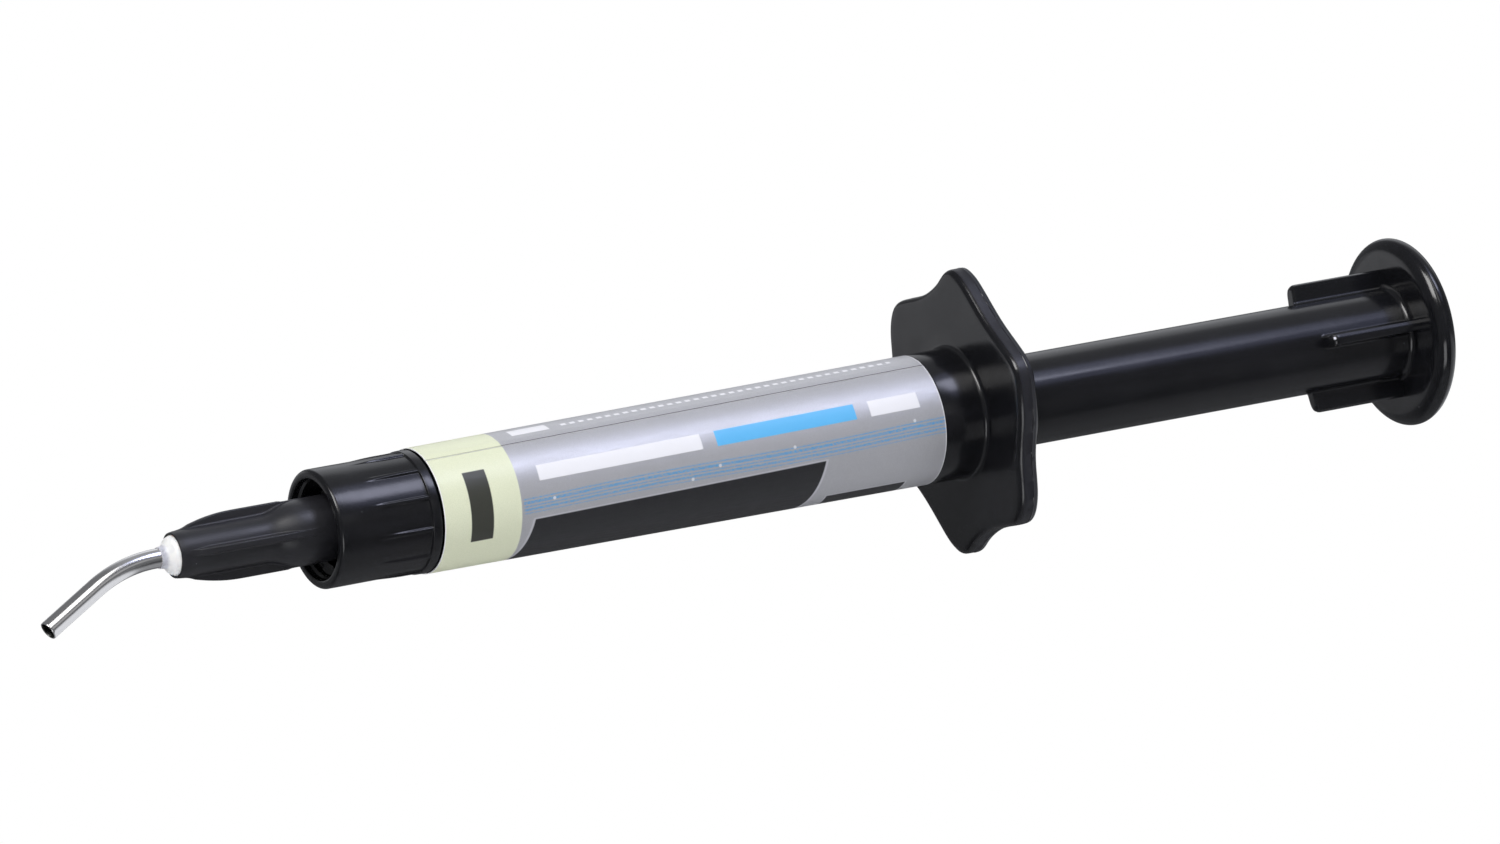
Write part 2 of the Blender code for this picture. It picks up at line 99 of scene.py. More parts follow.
def rings_to_mesh(rings, loop=False, cap=True):
    """Quads between equal-length closed rings.  A ring of one point closes as a fan."""
    verts, starts = [], []
    for r in rings:
        starts.append(len(verts))
        verts.extend(np.asarray(r).reshape(-1, 3))
    faces = []
    pairs = list(zip(range(len(rings)), range(1, len(rings))))
    if loop:
        pairs.append((len(rings) - 1, 0))
    for a, b in pairs:
        na, nb = len(rings[a]), len(rings[b])
        sa, sb = starts[a], starts[b]
        n = max(na, nb)
        for i in range(n):
            j = (i + 1) % n
            if na == 1:
                faces.append((sa, sb + i, sb + j))
            elif nb == 1:
                faces.append((sa + i, sb, sa + j))
            else:
                faces.append((sa + i, sb + i, sb + j, sa + j))
    if cap and not loop:
        for k, flip in ((0, True), (len(rings) - 1, False)):
            if len(rings[k]) > 1:
                f = [starts[k] + i for i in range(len(rings[k]))]
                faces.append(tuple(reversed(f)) if flip else tuple(f))
    verts = np.array(verts)
    return verts, orient(verts, faces)


def soft_profile(pts, loop=False, segs=6):
    """(x, r[, radius]) polyline with each corner that has a radius turned into an arc."""
    n = len(pts)
    out = []
    for i in range(n):
        p = np.array(pts[i][:2], float)
        rad = pts[i][2] if len(pts[i]) > 2 else 0.0
        if rad <= 0 or (not loop and i in (0, n - 1)):
            out.append(tuple(p))
            continue
        a = np.array(pts[i - 1][:2], float) - p
        b = np.array(pts[(i + 1) % n][:2], float) - p
        la, lb = np.linalg.norm(a), np.linalg.norm(b)
        a, b = a / la, b / lb
        ang = math.acos(max(-1, min(1, float(np.dot(a, b)))))
        if ang > math.pi - 0.02:
            out.append(tuple(p))
            continue
        t = min(rad / math.tan(ang / 2), 0.48 * la, 0.48 * lb)
        r = t * math.tan(ang / 2)
        mid = (a + b) / np.linalg.norm(a + b)
        c = p + mid * (r / math.sin(ang / 2))
        s, e = p + a * t - c, p + b * t - c
        sweep = math.pi - ang
        turn = 1.0 if s[0] * e[1] - s[1] * e[0] > 0 else -1.0
        for k in range(segs + 1):
            w = turn * sweep * k / segs
            out.append((c[0] + s[0] * math.cos(w) - s[1] * math.sin(w),
                        c[1] + s[0] * math.sin(w) + s[1] * math.cos(w)))
    return out


def split_long(prof, step, loop=False):
    """Add points along long straight runs."""
    out = []
    n = len(prof)
    for i in range(n):
        out.append(prof[i])
        if i == n - 1 and not loop:
            break
        a, b = np.array(prof[i]), np.array(prof[(i + 1) % n])
        k = int(np.linalg.norm(b - a) // step)
        for j in range(1, k + 1):
            out.append(tuple(a + (b - a) * j / (k + 1)))
    return out


def lathe(name, prof, mats, n=160, loop=False, sharp=38.0, step=3.0):
    al = np.arange(n) * 2 * math.pi / n
    rings = []
    for x, r in split_long(prof, step, loop):
        rings.append(polar(x, r, al) if r > 1e-9 else np.array([[x, 0, 0]]))
    v, f = rings_to_mesh(rings, loop=loop, cap=False)
    return make_mesh(name, v, f, mats, sharp)


def smooth(a, b, x):
    t = np.clip((np.asarray(x, float) - a) / (b - a), 0, 1)
    return t * t * (3 - 2 * t)


# ---------------------------------------------------------------- node kit
class Nodes:
    """Short calls for building a material's node tree."""

    def __init__(self, name):
        self.mat = bpy.data.materials.new(name)
        self.mat.use_nodes = True
        self.t = self.mat.node_tree
        self.t.nodes.clear()
        self.out = self.t.nodes.new("ShaderNodeOutputMaterial")
        self.bsdf = self.t.nodes.new("ShaderNodeBsdfPrincipled")
        self.t.links.new(self.bsdf.outputs[0], self.out.inputs[0])
        tc = self.t.nodes.new("ShaderNodeTexCoord")
        mp = self.t.nodes.new("ShaderNodeMapping")
        mp.inputs["Scale"].default_value = (1000, 1000, 1000)
        self.t.links.new(tc.outputs["Object"], mp.inputs[0])
        self.mm = mp.outputs[0]                      # position in millimetres

    def link(self, a, b):
        self.t.links.new(a, b)

    def put(self, sock, val):
        if hasattr(val, "is_output"):
            self.link(val, sock)
        else:
            sock.default_value = val

    def math(self, op, a, b=0.0, c=None, clamp=False):
        n = self.t.nodes.new("ShaderNodeMath")
        n.operation = op
        n.use_clamp = clamp
        self.put(n.inputs[0], a)
        self.put(n.inputs[1], b)
        if c is not None:
            self.put(n.inputs[2], c)
        return n.outputs[0]

    def range(self, v, a, b, c, d, kind='SMOOTHSTEP'):
        n = self.t.nodes.new("ShaderNodeMapRange")
        n.interpolation_type = kind
        for i, q in enumerate((v, a, b, c, d)):
            self.put(n.inputs[i], q)
        return n.outputs[0]

    def noise(self, scale, detail=3.0, rough=0.5, vec=None, stretch=None, distort=0.0):
        v = vec if vec is not None else self.mm
        if stretch:
            m = self.t.nodes.new("ShaderNodeMapping")
            m.inputs["Scale"].default_value = stretch
            self.link(v, m.inputs[0])
            v = m.outputs[0]
        n = self.t.nodes.new("ShaderNodeTexNoise")
        n.inputs["Scale"].default_value = scale
        n.inputs["Detail"].default_value = detail
        n.inputs["Roughness"].default_value = rough
        n.inputs["Distortion"].default_value = distort
        self.link(v, n.inputs["Vector"])
        return n.outputs[0]

    def specks(self, scale, size, share):
        """Sparse round specks: size is a share of the cell, share the fraction of cells used."""
        n = self.t.nodes.new("ShaderNodeTexVoronoi")
        n.inputs["Scale"].default_value = scale
        self.link(self.mm, n.inputs["Vector"])
        sep = self.t.nodes.new("ShaderNodeSeparateColor")
        self.link(n.outputs["Color"], sep.inputs[0])
        dot = self.range(n.outputs["Distance"], size * 0.6, size, 1.0, 0.0)
        pick = self.math('LESS_THAN', sep.outputs[0], share)
        return self.math('MULTIPLY', dot, pick)

    def mix(self, f, a, b):
        n = self.t.nodes.new("ShaderNodeMix")
        n.data_type = 'RGBA'
        self.put(n.inputs[0], f)
        self.put(n.inputs[6], a)
        self.put(n.inputs[7], b)
        return n.outputs[2]

    def bump(self, h, dist_mm, strength=1.0, normal=None):
        n = self.t.nodes.new("ShaderNodeBump")
        n.inputs["Strength"].default_value = strength
        n.inputs["Distance"].default_value = dist_mm * MM
        self.put(n.inputs["Height"], h)
        if normal is not None:
            self.link(normal, n.inputs["Normal"])
        return n.outputs[0]

    def set(self, **kw):
        for k, v in kw.items():
            self.put(self.bsdf.inputs[k.replace("_", " ")], v)


def rgb(r, g, b):
    return (r, g, b, 1.0)


def black_plastic(name, rough, var, peel, tint=(0.0052, 0.0054, 0.0066), scuff=0.5, dust=0.02, glint_spot=None, rim=None):
    """Moulded black plastic: faint orange peel, flow marks along X, scuffs, dust and paler edges."""
    m = Nodes(name)
    broad = m.noise(0.22, 3.0, 0.55)
    fine = m.noise(9.0, 4.0, 0.6)
    flow = m.noise(1.1, 3.0, 0.6, stretch=(0.10, 1.0, 1.0))
    hair = m.noise(14.0, 2.0, 0.7, stretch=(0.06, 1.0, 1.0), distort=0.4)
    scratch = m.range(hair, 0.71, 0.79, 0.0, 1.0)
    scratch = m.math('MULTIPLY', scratch, m.range(broad, 0.50, 0.66, 0.0, 1.0), clamp=True)
    spk = m.specks(0.75, 0.045, dust)
    spk2 = m.specks(1.9, 0.075, dust * 0.6)
    dustm = m.math('MAXIMUM', spk, spk2)
    geo = m.t.nodes.new("ShaderNodeNewGeometry")
    edge = m.range(geo.outputs["Pointiness"], 0.53, 0.62, 0.0, 1.0)
    edge = m.math('MULTIPLY', edge, m.range(m.noise(2.6, 2.0, 0.5), 0.42, 0.60, 0.15, 1.0))
    base = m.mix(m.range(flow, 0.3, 0.7, 0.0, 1.0), rgb(*tint), rgb(*(c * 1.35 for c in tint)))
    base = m.mix(m.math('MULTIPLY', edge, 0.10), base, rgb(0.055, 0.056, 0.064))
    base = m.mix(m.math('MULTIPLY', scratch, 0.20 * scuff), base, rgb(0.10, 0.10, 0.115))
    base = m.mix(m.math('MULTIPLY', dustm, 0.75), base, rgb(0.42, 0.43, 0.45))
    if glint_spot:                                                        # painted highlight: a white dot where the near fin's domed corner glints
        off = m.t.nodes.new("ShaderNodeVectorMath")
        off.operation = 'DISTANCE'
        m.link(m.mm, off.inputs[0])
        off.inputs[1].default_value = glint_spot
        # painted highlight dot, mixed into the base colour
        base = m.mix(m.range(off.outputs["Value"], 0.09, 0.17, 0.95, 0.0), base, rgb(0.80, 0.80, 0.84))
    r = m.range(broad, 0.3, 0.7, rough - var, rough + var)
    r = m.math('ADD', r, m.math('MULTIPLY', scratch, 0.18 * scuff))
    r = m.math('ADD', r, m.math('MULTIPLY', dustm, 0.3), clamp=True)
    if rim:                                                         # rim beyond this radius is duller from wear, and its lighter bluish base is partly wear and partly a painted sheen
        pos = m.t.nodes.new("ShaderNodeSeparateXYZ")
        m.link(m.mm, pos.inputs[0])
        rad = m.math('SQRT', m.math('ADD', m.math('POWER', pos.outputs[1], 2.0), m.math('POWER', pos.outputs[2], 2.0)), 0.0)
        tcn = m.t.nodes.new("ShaderNodeTexCoord")
        nrm = m.t.nodes.new("ShaderNodeSeparateXYZ")
        m.link(tcn.outputs["Normal"], nrm.inputs[0])
        dull_and_sheen = m.math('MULTIPLY', m.range(rad, rim - 0.5, rim + 0.5, 0.0, 1.0),
                      m.range(m.math('ABSOLUTE', nrm.outputs[0], 0.0), 0.15, 0.55, 1.0, 0.0))
        r = m.math('ADD', r, m.math('MULTIPLY', dull_and_sheen, 0.20), clamp=True)
        # partly painted sheen: the rim faces get a lighter, bluer base colour
        base = m.mix(m.math('MULTIPLY', dull_and_sheen, 0.6), base, rgb(0.020, 0.020, 0.027))
    m.set(Base_Color=base, Roughness=r, IOR=1.50)
    b = m.bump(m.noise(0.8, 3.0, 0.5), peel)
    b = m.bump(m.math('SUBTRACT', dustm, m.math('MULTIPLY', scratch, 0.25)), 0.010, normal=b)
    m.link(b, m.bsdf.inputs["Normal"])
    return m.mat


def steel_material():
    m = Nodes("mat_cannula_steel")
    uvn = m.t.nodes.new("ShaderNodeUVMap")
    uvn.uv_map = "surface"
    streak = m.noise(14.0, 3.0, 0.6, vec=uvn.outputs[0], stretch=(0.02, 1.6, 1.0))
    grain = m.noise(6.0, 3.0, 0.6)
    spots = m.noise(1.8, 3.0, 0.6)
    col = m.mix(m.range(streak, 0.30, 0.70, 0.0, 1.0), rgb(0.78, 0.77, 0.765), rgb(0.92, 0.91, 0.905))
    col = m.mix(m.math('MULTIPLY', m.range(spots, 0.58, 0.72, 0.0, 1.0), 0.22), col, rgb(0.58, 0.56, 0.54))
    r = m.range(streak, 0.25, 0.75, 0.12, 0.17)
    r = m.math('ADD', r, m.range(grain, 0.4, 0.8, 0.0, 0.02))
    m.set(Base_Color=col, Metallic=1.0, Roughness=r)
    m.link(m.bump(streak, 0.0002), m.bsdf.inputs["Normal"])
    return m.mat


def steel_inside_material():
    m = Nodes("mat_cannula_bore")
    grain = m.noise(18.0, 3.0, 0.7, stretch=(0.2, 1.0, 1.0))
    # painted shade: the bore's steel is coloured far darker than the tube's outside
    col = m.mix(m.range(grain, 0.3, 0.7, 0.0, 1.0), rgb(0.10, 0.10, 0.095), rgb(0.26, 0.26, 0.25))
    m.set(Base_Color=col, Metallic=1.0, Roughness=m.range(grain, 0.3, 0.7, 0.3, 0.5))
    m.link(m.bump(grain, 0.006), m.bsdf.inputs["Normal"])
    return m.mat


def white_insert_material():
    m = Nodes("mat_insert_white")
    cloud = m.noise(1.6, 3.0, 0.5)
    fine = m.noise(12.0, 3.0, 0.6)
    sep = m.t.nodes.new("ShaderNodeSeparateXYZ")
    m.link(m.mm, sep.inputs[0])
    neck = m.range(sep.outputs[0], -122.35, -122.75, 0.0, 1.0)      # the thin neck is greyer and clearer
    col = m.mix(m.range(cloud, 0.35, 0.7, 0.0, 1.0), rgb(0.86, 0.86, 0.84), rgb(0.78, 0.78, 0.78))
    col = m.mix(neck, col, rgb(0.60, 0.60, 0.66))
    m.set(Base_Color=col, Roughness=m.range(fine, 0.3, 0.7, 0.26, 0.40), IOR=1.49)
    m.put(m.bsdf.inputs["Subsurface Weight"], 0.35)
    m.bsdf.inputs["Subsurface Radius"].default_value = (1.0, 0.9, 0.85)
    m.bsdf.inputs["Subsurface Scale"].default_value = 0.0006
    m.put(m.bsdf.inputs["Transmission Weight"], m.math('MULTIPLY', neck, 0.15))
    m.link(m.bump(m.math('ADD', m.math('MULTIPLY', fine, 0.15), cloud), 0.004), m.bsdf.inputs["Normal"])
    return m.mat


def rubber_material(name, c):
    m = Nodes(name)
    fine = m.noise(14.0, 4.0, 0.65)
    broad = m.noise(0.8, 3.0, 0.5)
    col = m.mix(m.range(fine, 0.3, 0.7, 0.0, 1.0), rgb(c, c, c * 1.05), rgb(c * 1.7, c * 1.7, c * 1.7))
    col = m.mix(m.math('MULTIPLY', m.specks(1.4, 0.06, 0.05), 0.5), col, rgb(0.3, 0.3, 0.3))
    m.set(Base_Color=col, Roughness=m.range(broad, 0.3, 0.7, 0.55, 0.75), IOR=1.52)
    m.link(m.bump(fine, 0.012), m.bsdf.inputs["Normal"])
    return m.mat


# Label layout: x0, x1 in millimetres along the axis, a0, a1 in degrees round it.
LBL_X0, LBL_X1 = -98.98, -50.66
SEAM_A = math.radians(-57.0)
LBL_LAP = math.radians(7.0)


def label_material():
    """Printed metallic film: pale band, silver field, dark panel, plain blue stripes and blank bars."""
    m = Nodes("mat_label_film")
    uvn = m.t.nodes.new("ShaderNodeUVMap")
    uvn.uv_map = "surface"
    sep = m.t.nodes.new("ShaderNodeSeparateXYZ")
    m.link(uvn.outputs[0], sep.inputs[0])
    X = m.range(sep.outputs[0], 0.0, 1.0, LBL_X0, LBL_X1, 'LINEAR')
    A = m.range(sep.outputs[1], 0.0, 1.0, math.degrees(SEAM_A), math.degrees(SEAM_A) + 367.0, 'LINEAR')

    def band(v, lo, hi, e):
        up = m.range(v, m.math('SUBTRACT', lo, e) if hasattr(lo, "is_output") else lo - e,
                     m.math('ADD', lo, e) if hasattr(lo, "is_output") else lo + e, 0.0, 1.0, 'LINEAR')
        dn = m.range(v, hi - e, hi + e, 1.0, 0.0, 'LINEAR')
        return m.math('MULTIPLY', up, dn)

    def bar(x0, x1, a0, a1, ex=0.04, ea=0.4):
        return m.math('MULTIPLY', band(X, x0, x1, ex), band(A, a0, a1, ea))

    flake = m.noise(34.0, 2.0, 0.7)
    cloud = m.noise(0.35, 2.0, 0.5)
    brush = m.noise(5.0, 3.0, 0.6, stretch=(0.08, 1.0, 1.0))
    silver = m.mix(m.range(flake, 0.3, 0.7, 0.0, 1.0), rgb(0.435, 0.437, 0.452), rgb(0.612, 0.616, 0.642))
    silver = m.mix(m.range(cloud, 0.3, 0.7, 0.0, 0.25), silver, rgb(0.48, 0.485, 0.51))
    tone = m.noise(16.0, 2.0, 0.5)
    pale = m.mix(m.range(tone, 0.3, 0.7, 0.0, 1.0), rgb(0.655, 0.690, 0.490), rgb(0.725, 0.752, 0.555))
    is_band = m.range(X, -91.76, -91.70, 1.0, 0.0, 'LINEAR')
    col = m.mix(is_band, silver, pale)
    # dark panel with a thin pale outline; its upper edge drifts along the label
    drift = m.range(X, -90.4, -62.5, 25.6, 22.7, 'LINEAR')
    slant = m.math('ADD', X, m.math('MULTIPLY', m.math('SUBTRACT', A, 24.0), 0.022))
    outline = m.math('MULTIPLY', band(slant, -90.62, -62.28, 0.05),
                     band(A, m.math('SUBTRACT', drift, 1.3), 153.0, 0.5))
    panel = m.math('MULTIPLY', band(slant, -90.40, -62.50, 0.04), band(A, drift, 150.0, 0.4))
    strip_o = bar(-61.75, -53.75, 63.6, 153.0)
    strip = bar(-61.6, -53.9, 65.0, 150.0)
    ink = m.math('MAXIMUM', panel, strip)
    edge = m.math('MAXIMUM', outline, strip_o)
    col = m.mix(m.math('MULTIPLY', edge, 0.55), col, rgb(0.74, 0.74, 0.78))
    inked = m.mix(m.range(flake, 0.35, 0.75, 0.0, 1.0), rgb(0.010, 0.010, 0.012), rgb(0.026, 0.026, 0.030))
    col = m.mix(ink, col, inked)
    # plain blue stripes that thin out towards the front
    after = m.range(X, -91.6, -91.4, 0.0, 1.0, 'LINEAR')
    wave = m.math('MULTIPLY', m.math('SINE', m.math('MULTIPLY', X, 0.22)), 0.9)
    for a0, wdt, strength in ((4.9, 0.65, 0.80), (8.2, 1.20, 0.95), (11.6, 0.65, 0.80), (14.6, 1.00, 0.90), (17.9, 0.50, 0.65)):
        s = band(m.math('ADD', A, wave), a0 - wdt, a0 + wdt, 0.25)
        fade = m.range(m.noise(13.0, 2.0, 0.6, stretch=(0.45, 1.0, 1.0)), 0.38, 0.60, 0.35, 1.0)
        s = m.math('MULTIPLY', m.math('MULTIPLY', s, fade), m.math('MULTIPLY', after, strength))
        col = m.mix(s, col, rgb(0.115, 0.45, 0.82))
    # blank bars: two pale, one blue, and a dark one on the pale band; a dashed line above the lap
    dashes = m.range(m.math('SINE', m.math('MULTIPLY', X, 7.3)), -0.35, -0.05, 0.0, 1.0)
    pale_bars = m.math('MAXIMUM', bar(-89.7, -74.0, -23.0, -8.5), bar(-57.6, -52.8, -23.0, -8.5))
    pale_bars = m.math('MAXIMUM', pale_bars, m.math('MAXIMUM', bar(-90.1, -86.5, 284.5, 297.0), m.math('MULTIPLY', bar(-85.6, -53.0, 290.6, 294.6), dashes)))
    col = m.mix(m.math('MULTIPLY', pale_bars, 0.85), col, rgb(0.82, 0.82, 0.84))
    blue_bar = bar(-72.6, -59.0, -23.0, -8.5)
    col = m.mix(m.math('MULTIPLY', blue_bar, 0.95), col, rgb(0.085, 0.44, 0.80))
    dark_bar = bar(-96.5, -94.4, -29.0, 37.0)
    col = m.mix(m.math('MULTIPLY', dark_bar, 0.96), col, rgb(0.012, 0.012, 0.010))
    # white dots along the stripes, unprinted white margins, and a painted shadow line along the lap
    for dx, da in ((-88.6, 9.0), (-75.4, 16.2), (-72.7, 8.6), (-65.4, 5.0), (-53.6, 2.2)):
        q = m.math('ADD', m.math('POWER', m.math('SUBTRACT', X, dx), 2.0),
                   m.math('POWER', m.math('MULTIPLY', m.math('SUBTRACT', A, da), 0.096), 2.0))
        col = m.mix(m.range(q, 0.012, 0.030, 0.9, 0.0), col, rgb(0.88, 0.90, 0.92))
    margin = m.math('MAXIMUM', m.range(X, LBL_X0 + 0.04, LBL_X0 + 0.09, 1.0, 0.0, 'LINEAR'),
                    m.range(X, LBL_X1 - 0.09, LBL_X1 - 0.04, 0.0, 1.0, 'LINEAR'))
    col = m.mix(m.math('MULTIPLY', margin, 0.9), col, rgb(0.88, 0.88, 0.90))
    # painted shadow: a dark line along the film's lapped edge, weaker on the pale band
    lap_shadow = band(A, math.degrees(SEAM_A) + 360.0 + 6.05, math.degrees(SEAM_A) + 360.0 + 6.90, 0.25)
    col = m.mix(m.math('MULTIPLY', lap_shadow, m.math('SUBTRACT', 0.95, m.math('MULTIPLY', is_band, 0.50))), col, rgb(0.045, 0.045, 0.05))
    solid = m.math('MAXIMUM', m.math('MAXIMUM', is_band, ink), m.math('MAXIMUM', blue_bar, pale_bars))
    m.set(Base_Color=col, Metallic=m.range(m.math('MAXIMUM', solid, margin), 0.0, 1.0, 0.48, 0.0, 'LINEAR'),
          Roughness=m.math('ADD', m.range(brush, 0.3, 0.7, 0.36, 0.46), m.range(flake, 0.3, 0.7, -0.03, 0.05)),
          IOR=1.5)
    m.put(m.bsdf.inputs["Coat Weight"], 0.12)
    m.put(m.bsdf.inputs["Coat Roughness"], 0.22)
    b = m.bump(flake, 0.0030)
    b = m.bump(m.noise(0.9, 2.0, 0.5), 0.020, normal=b)
    b = m.bump(m.math('MAXIMUM', ink, m.math('MAXIMUM', pale_bars, blue_bar)), 0.006, normal=b)
    m.link(b, m.bsdf.inputs["Normal"])
    return m.mat


def label_edge_material():
    m = Nodes("mat_label_core")
    fib = m.noise(30.0, 3.0, 0.7)
    m.set(Base_Color=m.mix(fib, rgb(0.72, 0.72, 0.74), rgb(0.90, 0.90, 0.92)), Roughness=0.6)
    m.link(m.bump(fib, 0.006), m.bsdf.inputs["Normal"])
    return m.mat


M_BARREL = black_plastic("mat_barrel_gloss", 0.19, 0.03, 0.006, dust=0.03, rim=8.6)
M_ROD = black_plastic("mat_rod_gloss", 0.18, 0.03, 0.005, dust=0.025, glint_spot=(-11.07, -5.625, 0.464))
M_COLLAR = black_plastic("mat_collar_gloss", 0.21, 0.03, 0.007, scuff=0.6, dust=0.04)
M_HUB = black_plastic("mat_hub_satin", 0.40, 0.04, 0.010, tint=(0.0130, 0.0131, 0.0158), scuff=0.5, dust=0.04)
M_CARRIER = black_plastic("mat_carrier_grey", 0.40, 0.06, 0.012, tint=(0.13, 0.13, 0.14), dust=0.02)
M_STEEL = steel_material()
M_BORE = steel_inside_material()
M_WHITE = white_insert_material()
M_RUBBER = rubber_material("mat_gasket_rubber", 0.016)
M_RING = rubber_material("mat_ring_rubber", 0.022)
M_LABEL = label_material()
M_CORE = label_edge_material()


# -------------------------------------------------------------------- barrel
def label_r(x):
    return 5.34 + (5.62 - 5.34) * (x + 99.03) / (99.03 - 50.61)


FLANGE_HALF = [(-3.4, 12.1), (-4.5, 11.5), (-5.6, 10.4), (-8.0, 7.1), (-10.2, 4.8), (-11.7, 2.9),
               (-11.7, 0.7), (-11.1, -1.8), (-9.6, -4.9), (-8.9, -8.1), (-7.4, -10.1),
               (-5.0, -10.35), (-2.2, -10.4), (0.4, -11.1), (2.0, -11.95)]


def flange_outline(n):
    """Outline radius sampled at n even angles alpha, from a closed Catmull-Rom curve."""
    pts = np.array(FLANGE_HALF + [(-y, -z) for y, z in FLANGE_HALF])
    m = len(pts)
    fine = []
    for i in range(m):
        p0, p1, p2, p3 = (pts[(i + k - 1) % m] for k in range(4))
        for t in np.arange(24) / 24:
            fine.append(0.5 * (2 * p1 + (p2 - p0) * t + (2 * p0 - 5 * p1 + 4 * p2 - p3) * t * t
                               + (3 * p1 - p0 - 3 * p2 + p3) * t ** 3))
    fine = np.array(fine)
    k = np.exp(-0.5 * (np.arange(-14, 15) / 6.5) ** 2)
    k /= k.sum()
    sm = np.stack([np.convolve(np.r_[fine[-14:, c], fine[:, c], fine[:14, c]], k, 'valid') for c in (0, 1)], -1)
    al = np.mod(np.arctan2(-sm[:, 1], -sm[:, 0]), 2 * math.pi)
    rr = np.hypot(sm[:, 0], sm[:, 1])
    o = np.argsort(al)
    a = np.arange(n) * 2 * math.pi / n
    return a, np.interp(a, al[o], rr[o], period=2 * math.pi) + 0.05


def build_barrel():
    n = 360
    al, ro = flange_outline(n)
    outline = np.stack([-ro * np.cos(al), -ro * np.sin(al)], -1)
    tan = np.roll(outline, -1, 0) - np.roll(outline, 1, 0)
    tan /= np.linalg.norm(tan, axis=1)[:, None]
    inward = np.stack([-tan[:, 1], tan[:, 0]], -1)
    if np.mean(np.sum(inward * outline, 1)) > 0:
        inward = -inward
    rings = []

    def circle(x, r):
        rings.append(polar(x, r, al))

    def offset(x, d):
        p = outline + inward * d
        rings.append(np.column_stack([np.full(n, x), p]))

    def blend_face(x, r, d, steps):
        """Flat face from the circle of radius r out to the outline moved in by d."""
        c = np.stack([-r * np.cos(al), -r * np.sin(al)], -1)
        p = outline + inward * d
        for t in steps:
            q = c * (1 - t) + p * t
            rings.append(np.column_stack([np.full(n, x), q]))

    # rear mouth and stub
    mouth = soft_profile([(-60.0, 4.12), (-41.85, 4.12, 0.3), (-41.36, 4.42, 0.10), (-41.36, 5.44, 0.20), (-43.0, 5.46)])
    for x, r in split_long(mouth, 4.0):
        circle(x, r)
    # fillet up to the flange's rear face
    fr = 0.35
    for k in range(7):
        w = math.pi / 2 * k / 6
        circle(-44.77 + fr * (1 - math.sin(w)), 5.46 + fr * (1 - math.cos(w)))
    rear = 0.32
    blend_face(-44.77, 5.46 + fr, rear, (0.25, 0.6, 0.9))
    for k in range(9):
        w = math.pi / 2 * k / 8
        offset(-44.77 - rear * (1 - math.cos(w)), rear * (1 - math.sin(w)))
    rim = 0.60
    # parting line half way through the rim
    flash = np.array([0.016 + 0.026 * max(0.0, noise.noise(Vector((math.cos(a) * 9, math.sin(a) * 9, 1.7)))) for a in al])
    xm = -45.30
    offset(xm + 0.06, 0.0)
    p = outline - inward * flash[:, None]
    rings.append(np.column_stack([np.full(n, xm + 0.018), p]))
    rings.append(np.column_stack([np.full(n, xm - 0.018), p]))
    offset(xm - 0.06, 0.012)
    for k in range(9):
        w = math.pi / 2 * k / 8
        offset(-46.59 + rim * (1 - math.sin(w)), rim * (1 - math.cos(w)) + 0.012 * (1 - k / 8))
    ff = 0.42
    blend_face(-46.59, 5.67 + ff, rim, (0.9, 0.6, 0.25))
    for k in range(9):
        w = math.pi / 2 * k / 8
        circle(-46.59 - ff * (1 - math.cos(w)), 5.67 + ff * (1 - math.sin(w)))
    # tube, tapering forward, then front shoulder, neck, bead and nozzle
    front = soft_profile([
        (-48.2, 5.66), (-50.5, label_r(-50.5) + 0.015), (-50.72, label_r(-50.7) - 0.055, 0.05),
        (-98.90, label_r(-98.9) - 0.055, 0.18), (-98.90, 3.30, 0.15), (-100.75, 3.30), (-100.75, 3.62, 0.08),
        (-101.05, 3.62, 0.15), (-101.45, 3.22, 0.1), (-101.45, 2.22, 0.1), (-109.5, 1.98, 0.22),
        (-109.5, 1.0, 0.08), (-97.1, 1.0, 0.1), (-97.1, 4.12, 0.25), (-75.0, 4.12)])
    for x, r in split_long(front, 3.0):
        circle(x, r)
    v, f = rings_to_mesh(rings, loop=True)
    return make_mesh("barrel_moulding", v, f, [M_BARREL], sharp=35)


def build_label():
    """Film wound once round the barrel; its end laps over its start."""
    t = 0.07
    na, nx = 480, 60
    ang = SEAM_A + np.linspace(0, 2 * math.pi + LBL_LAP, na)
    lift = t * smooth(2 * math.pi - math.radians(5), 2 * math.pi + math.radians(0.5), ang - SEAM_A)
    xs = np.linspace(LBL_X0, LBL_X1, nx)
    ux = (xs - LBL_X0) / (LBL_X1 - LBL_X0)
    va = (ang - SEAM_A) / (2 * math.pi + LBL_LAP)
    verts, uv, faces, fm = [], [], [], []
    skew = math.radians(-2.2) * (ux - 0.5) * 2
    for side in (0, 1):
        for j in range(na):
            for i in range(nx):
                end = smooth(math.radians(350), 2 * math.pi + LBL_LAP, ang[j] - SEAM_A)
                x = xs[i] - 0.06 * end
                r = label_r(x) + lift[j] - t * side
                a = ang[j] + skew[i]
                verts.append((x, -r * math.cos(a), -r * math.sin(a)))
                uv.append((ux[i], va[j]))
    off = na * nx
    for j in range(na - 1):
        for i in range(nx - 1):
            a = j * nx + i
            faces.append((a, a + 1, a + nx + 1, a + nx))
            fm.append(0)
            faces.append((off + a, off + a + nx, off + a + nx + 1, off + a + 1))
            fm.append(1)
    for j in range(na - 1):
        a, b = j * nx, (j + 1) * nx
        faces.append((a, b, off + b, off + a))
        a, b = a + nx - 1, b + nx - 1
        faces.append((a, off + a, off + b, b))
        fm += [1, 1]
    for i in range(nx - 1):
        a = i
        faces.append((a, off + a, off + a + 1, a + 1))
        a = (na - 1) * nx + i
        faces.append((a, a + 1, off + a + 1, off + a))
        fm += [1, 1]
    verts = np.array(verts)
    f2 = orient(verts, faces)
    return make_mesh("label_film", verts, f2, [M_LABEL, M_CORE], sharp=30, face_mat=fm, uv=uv)


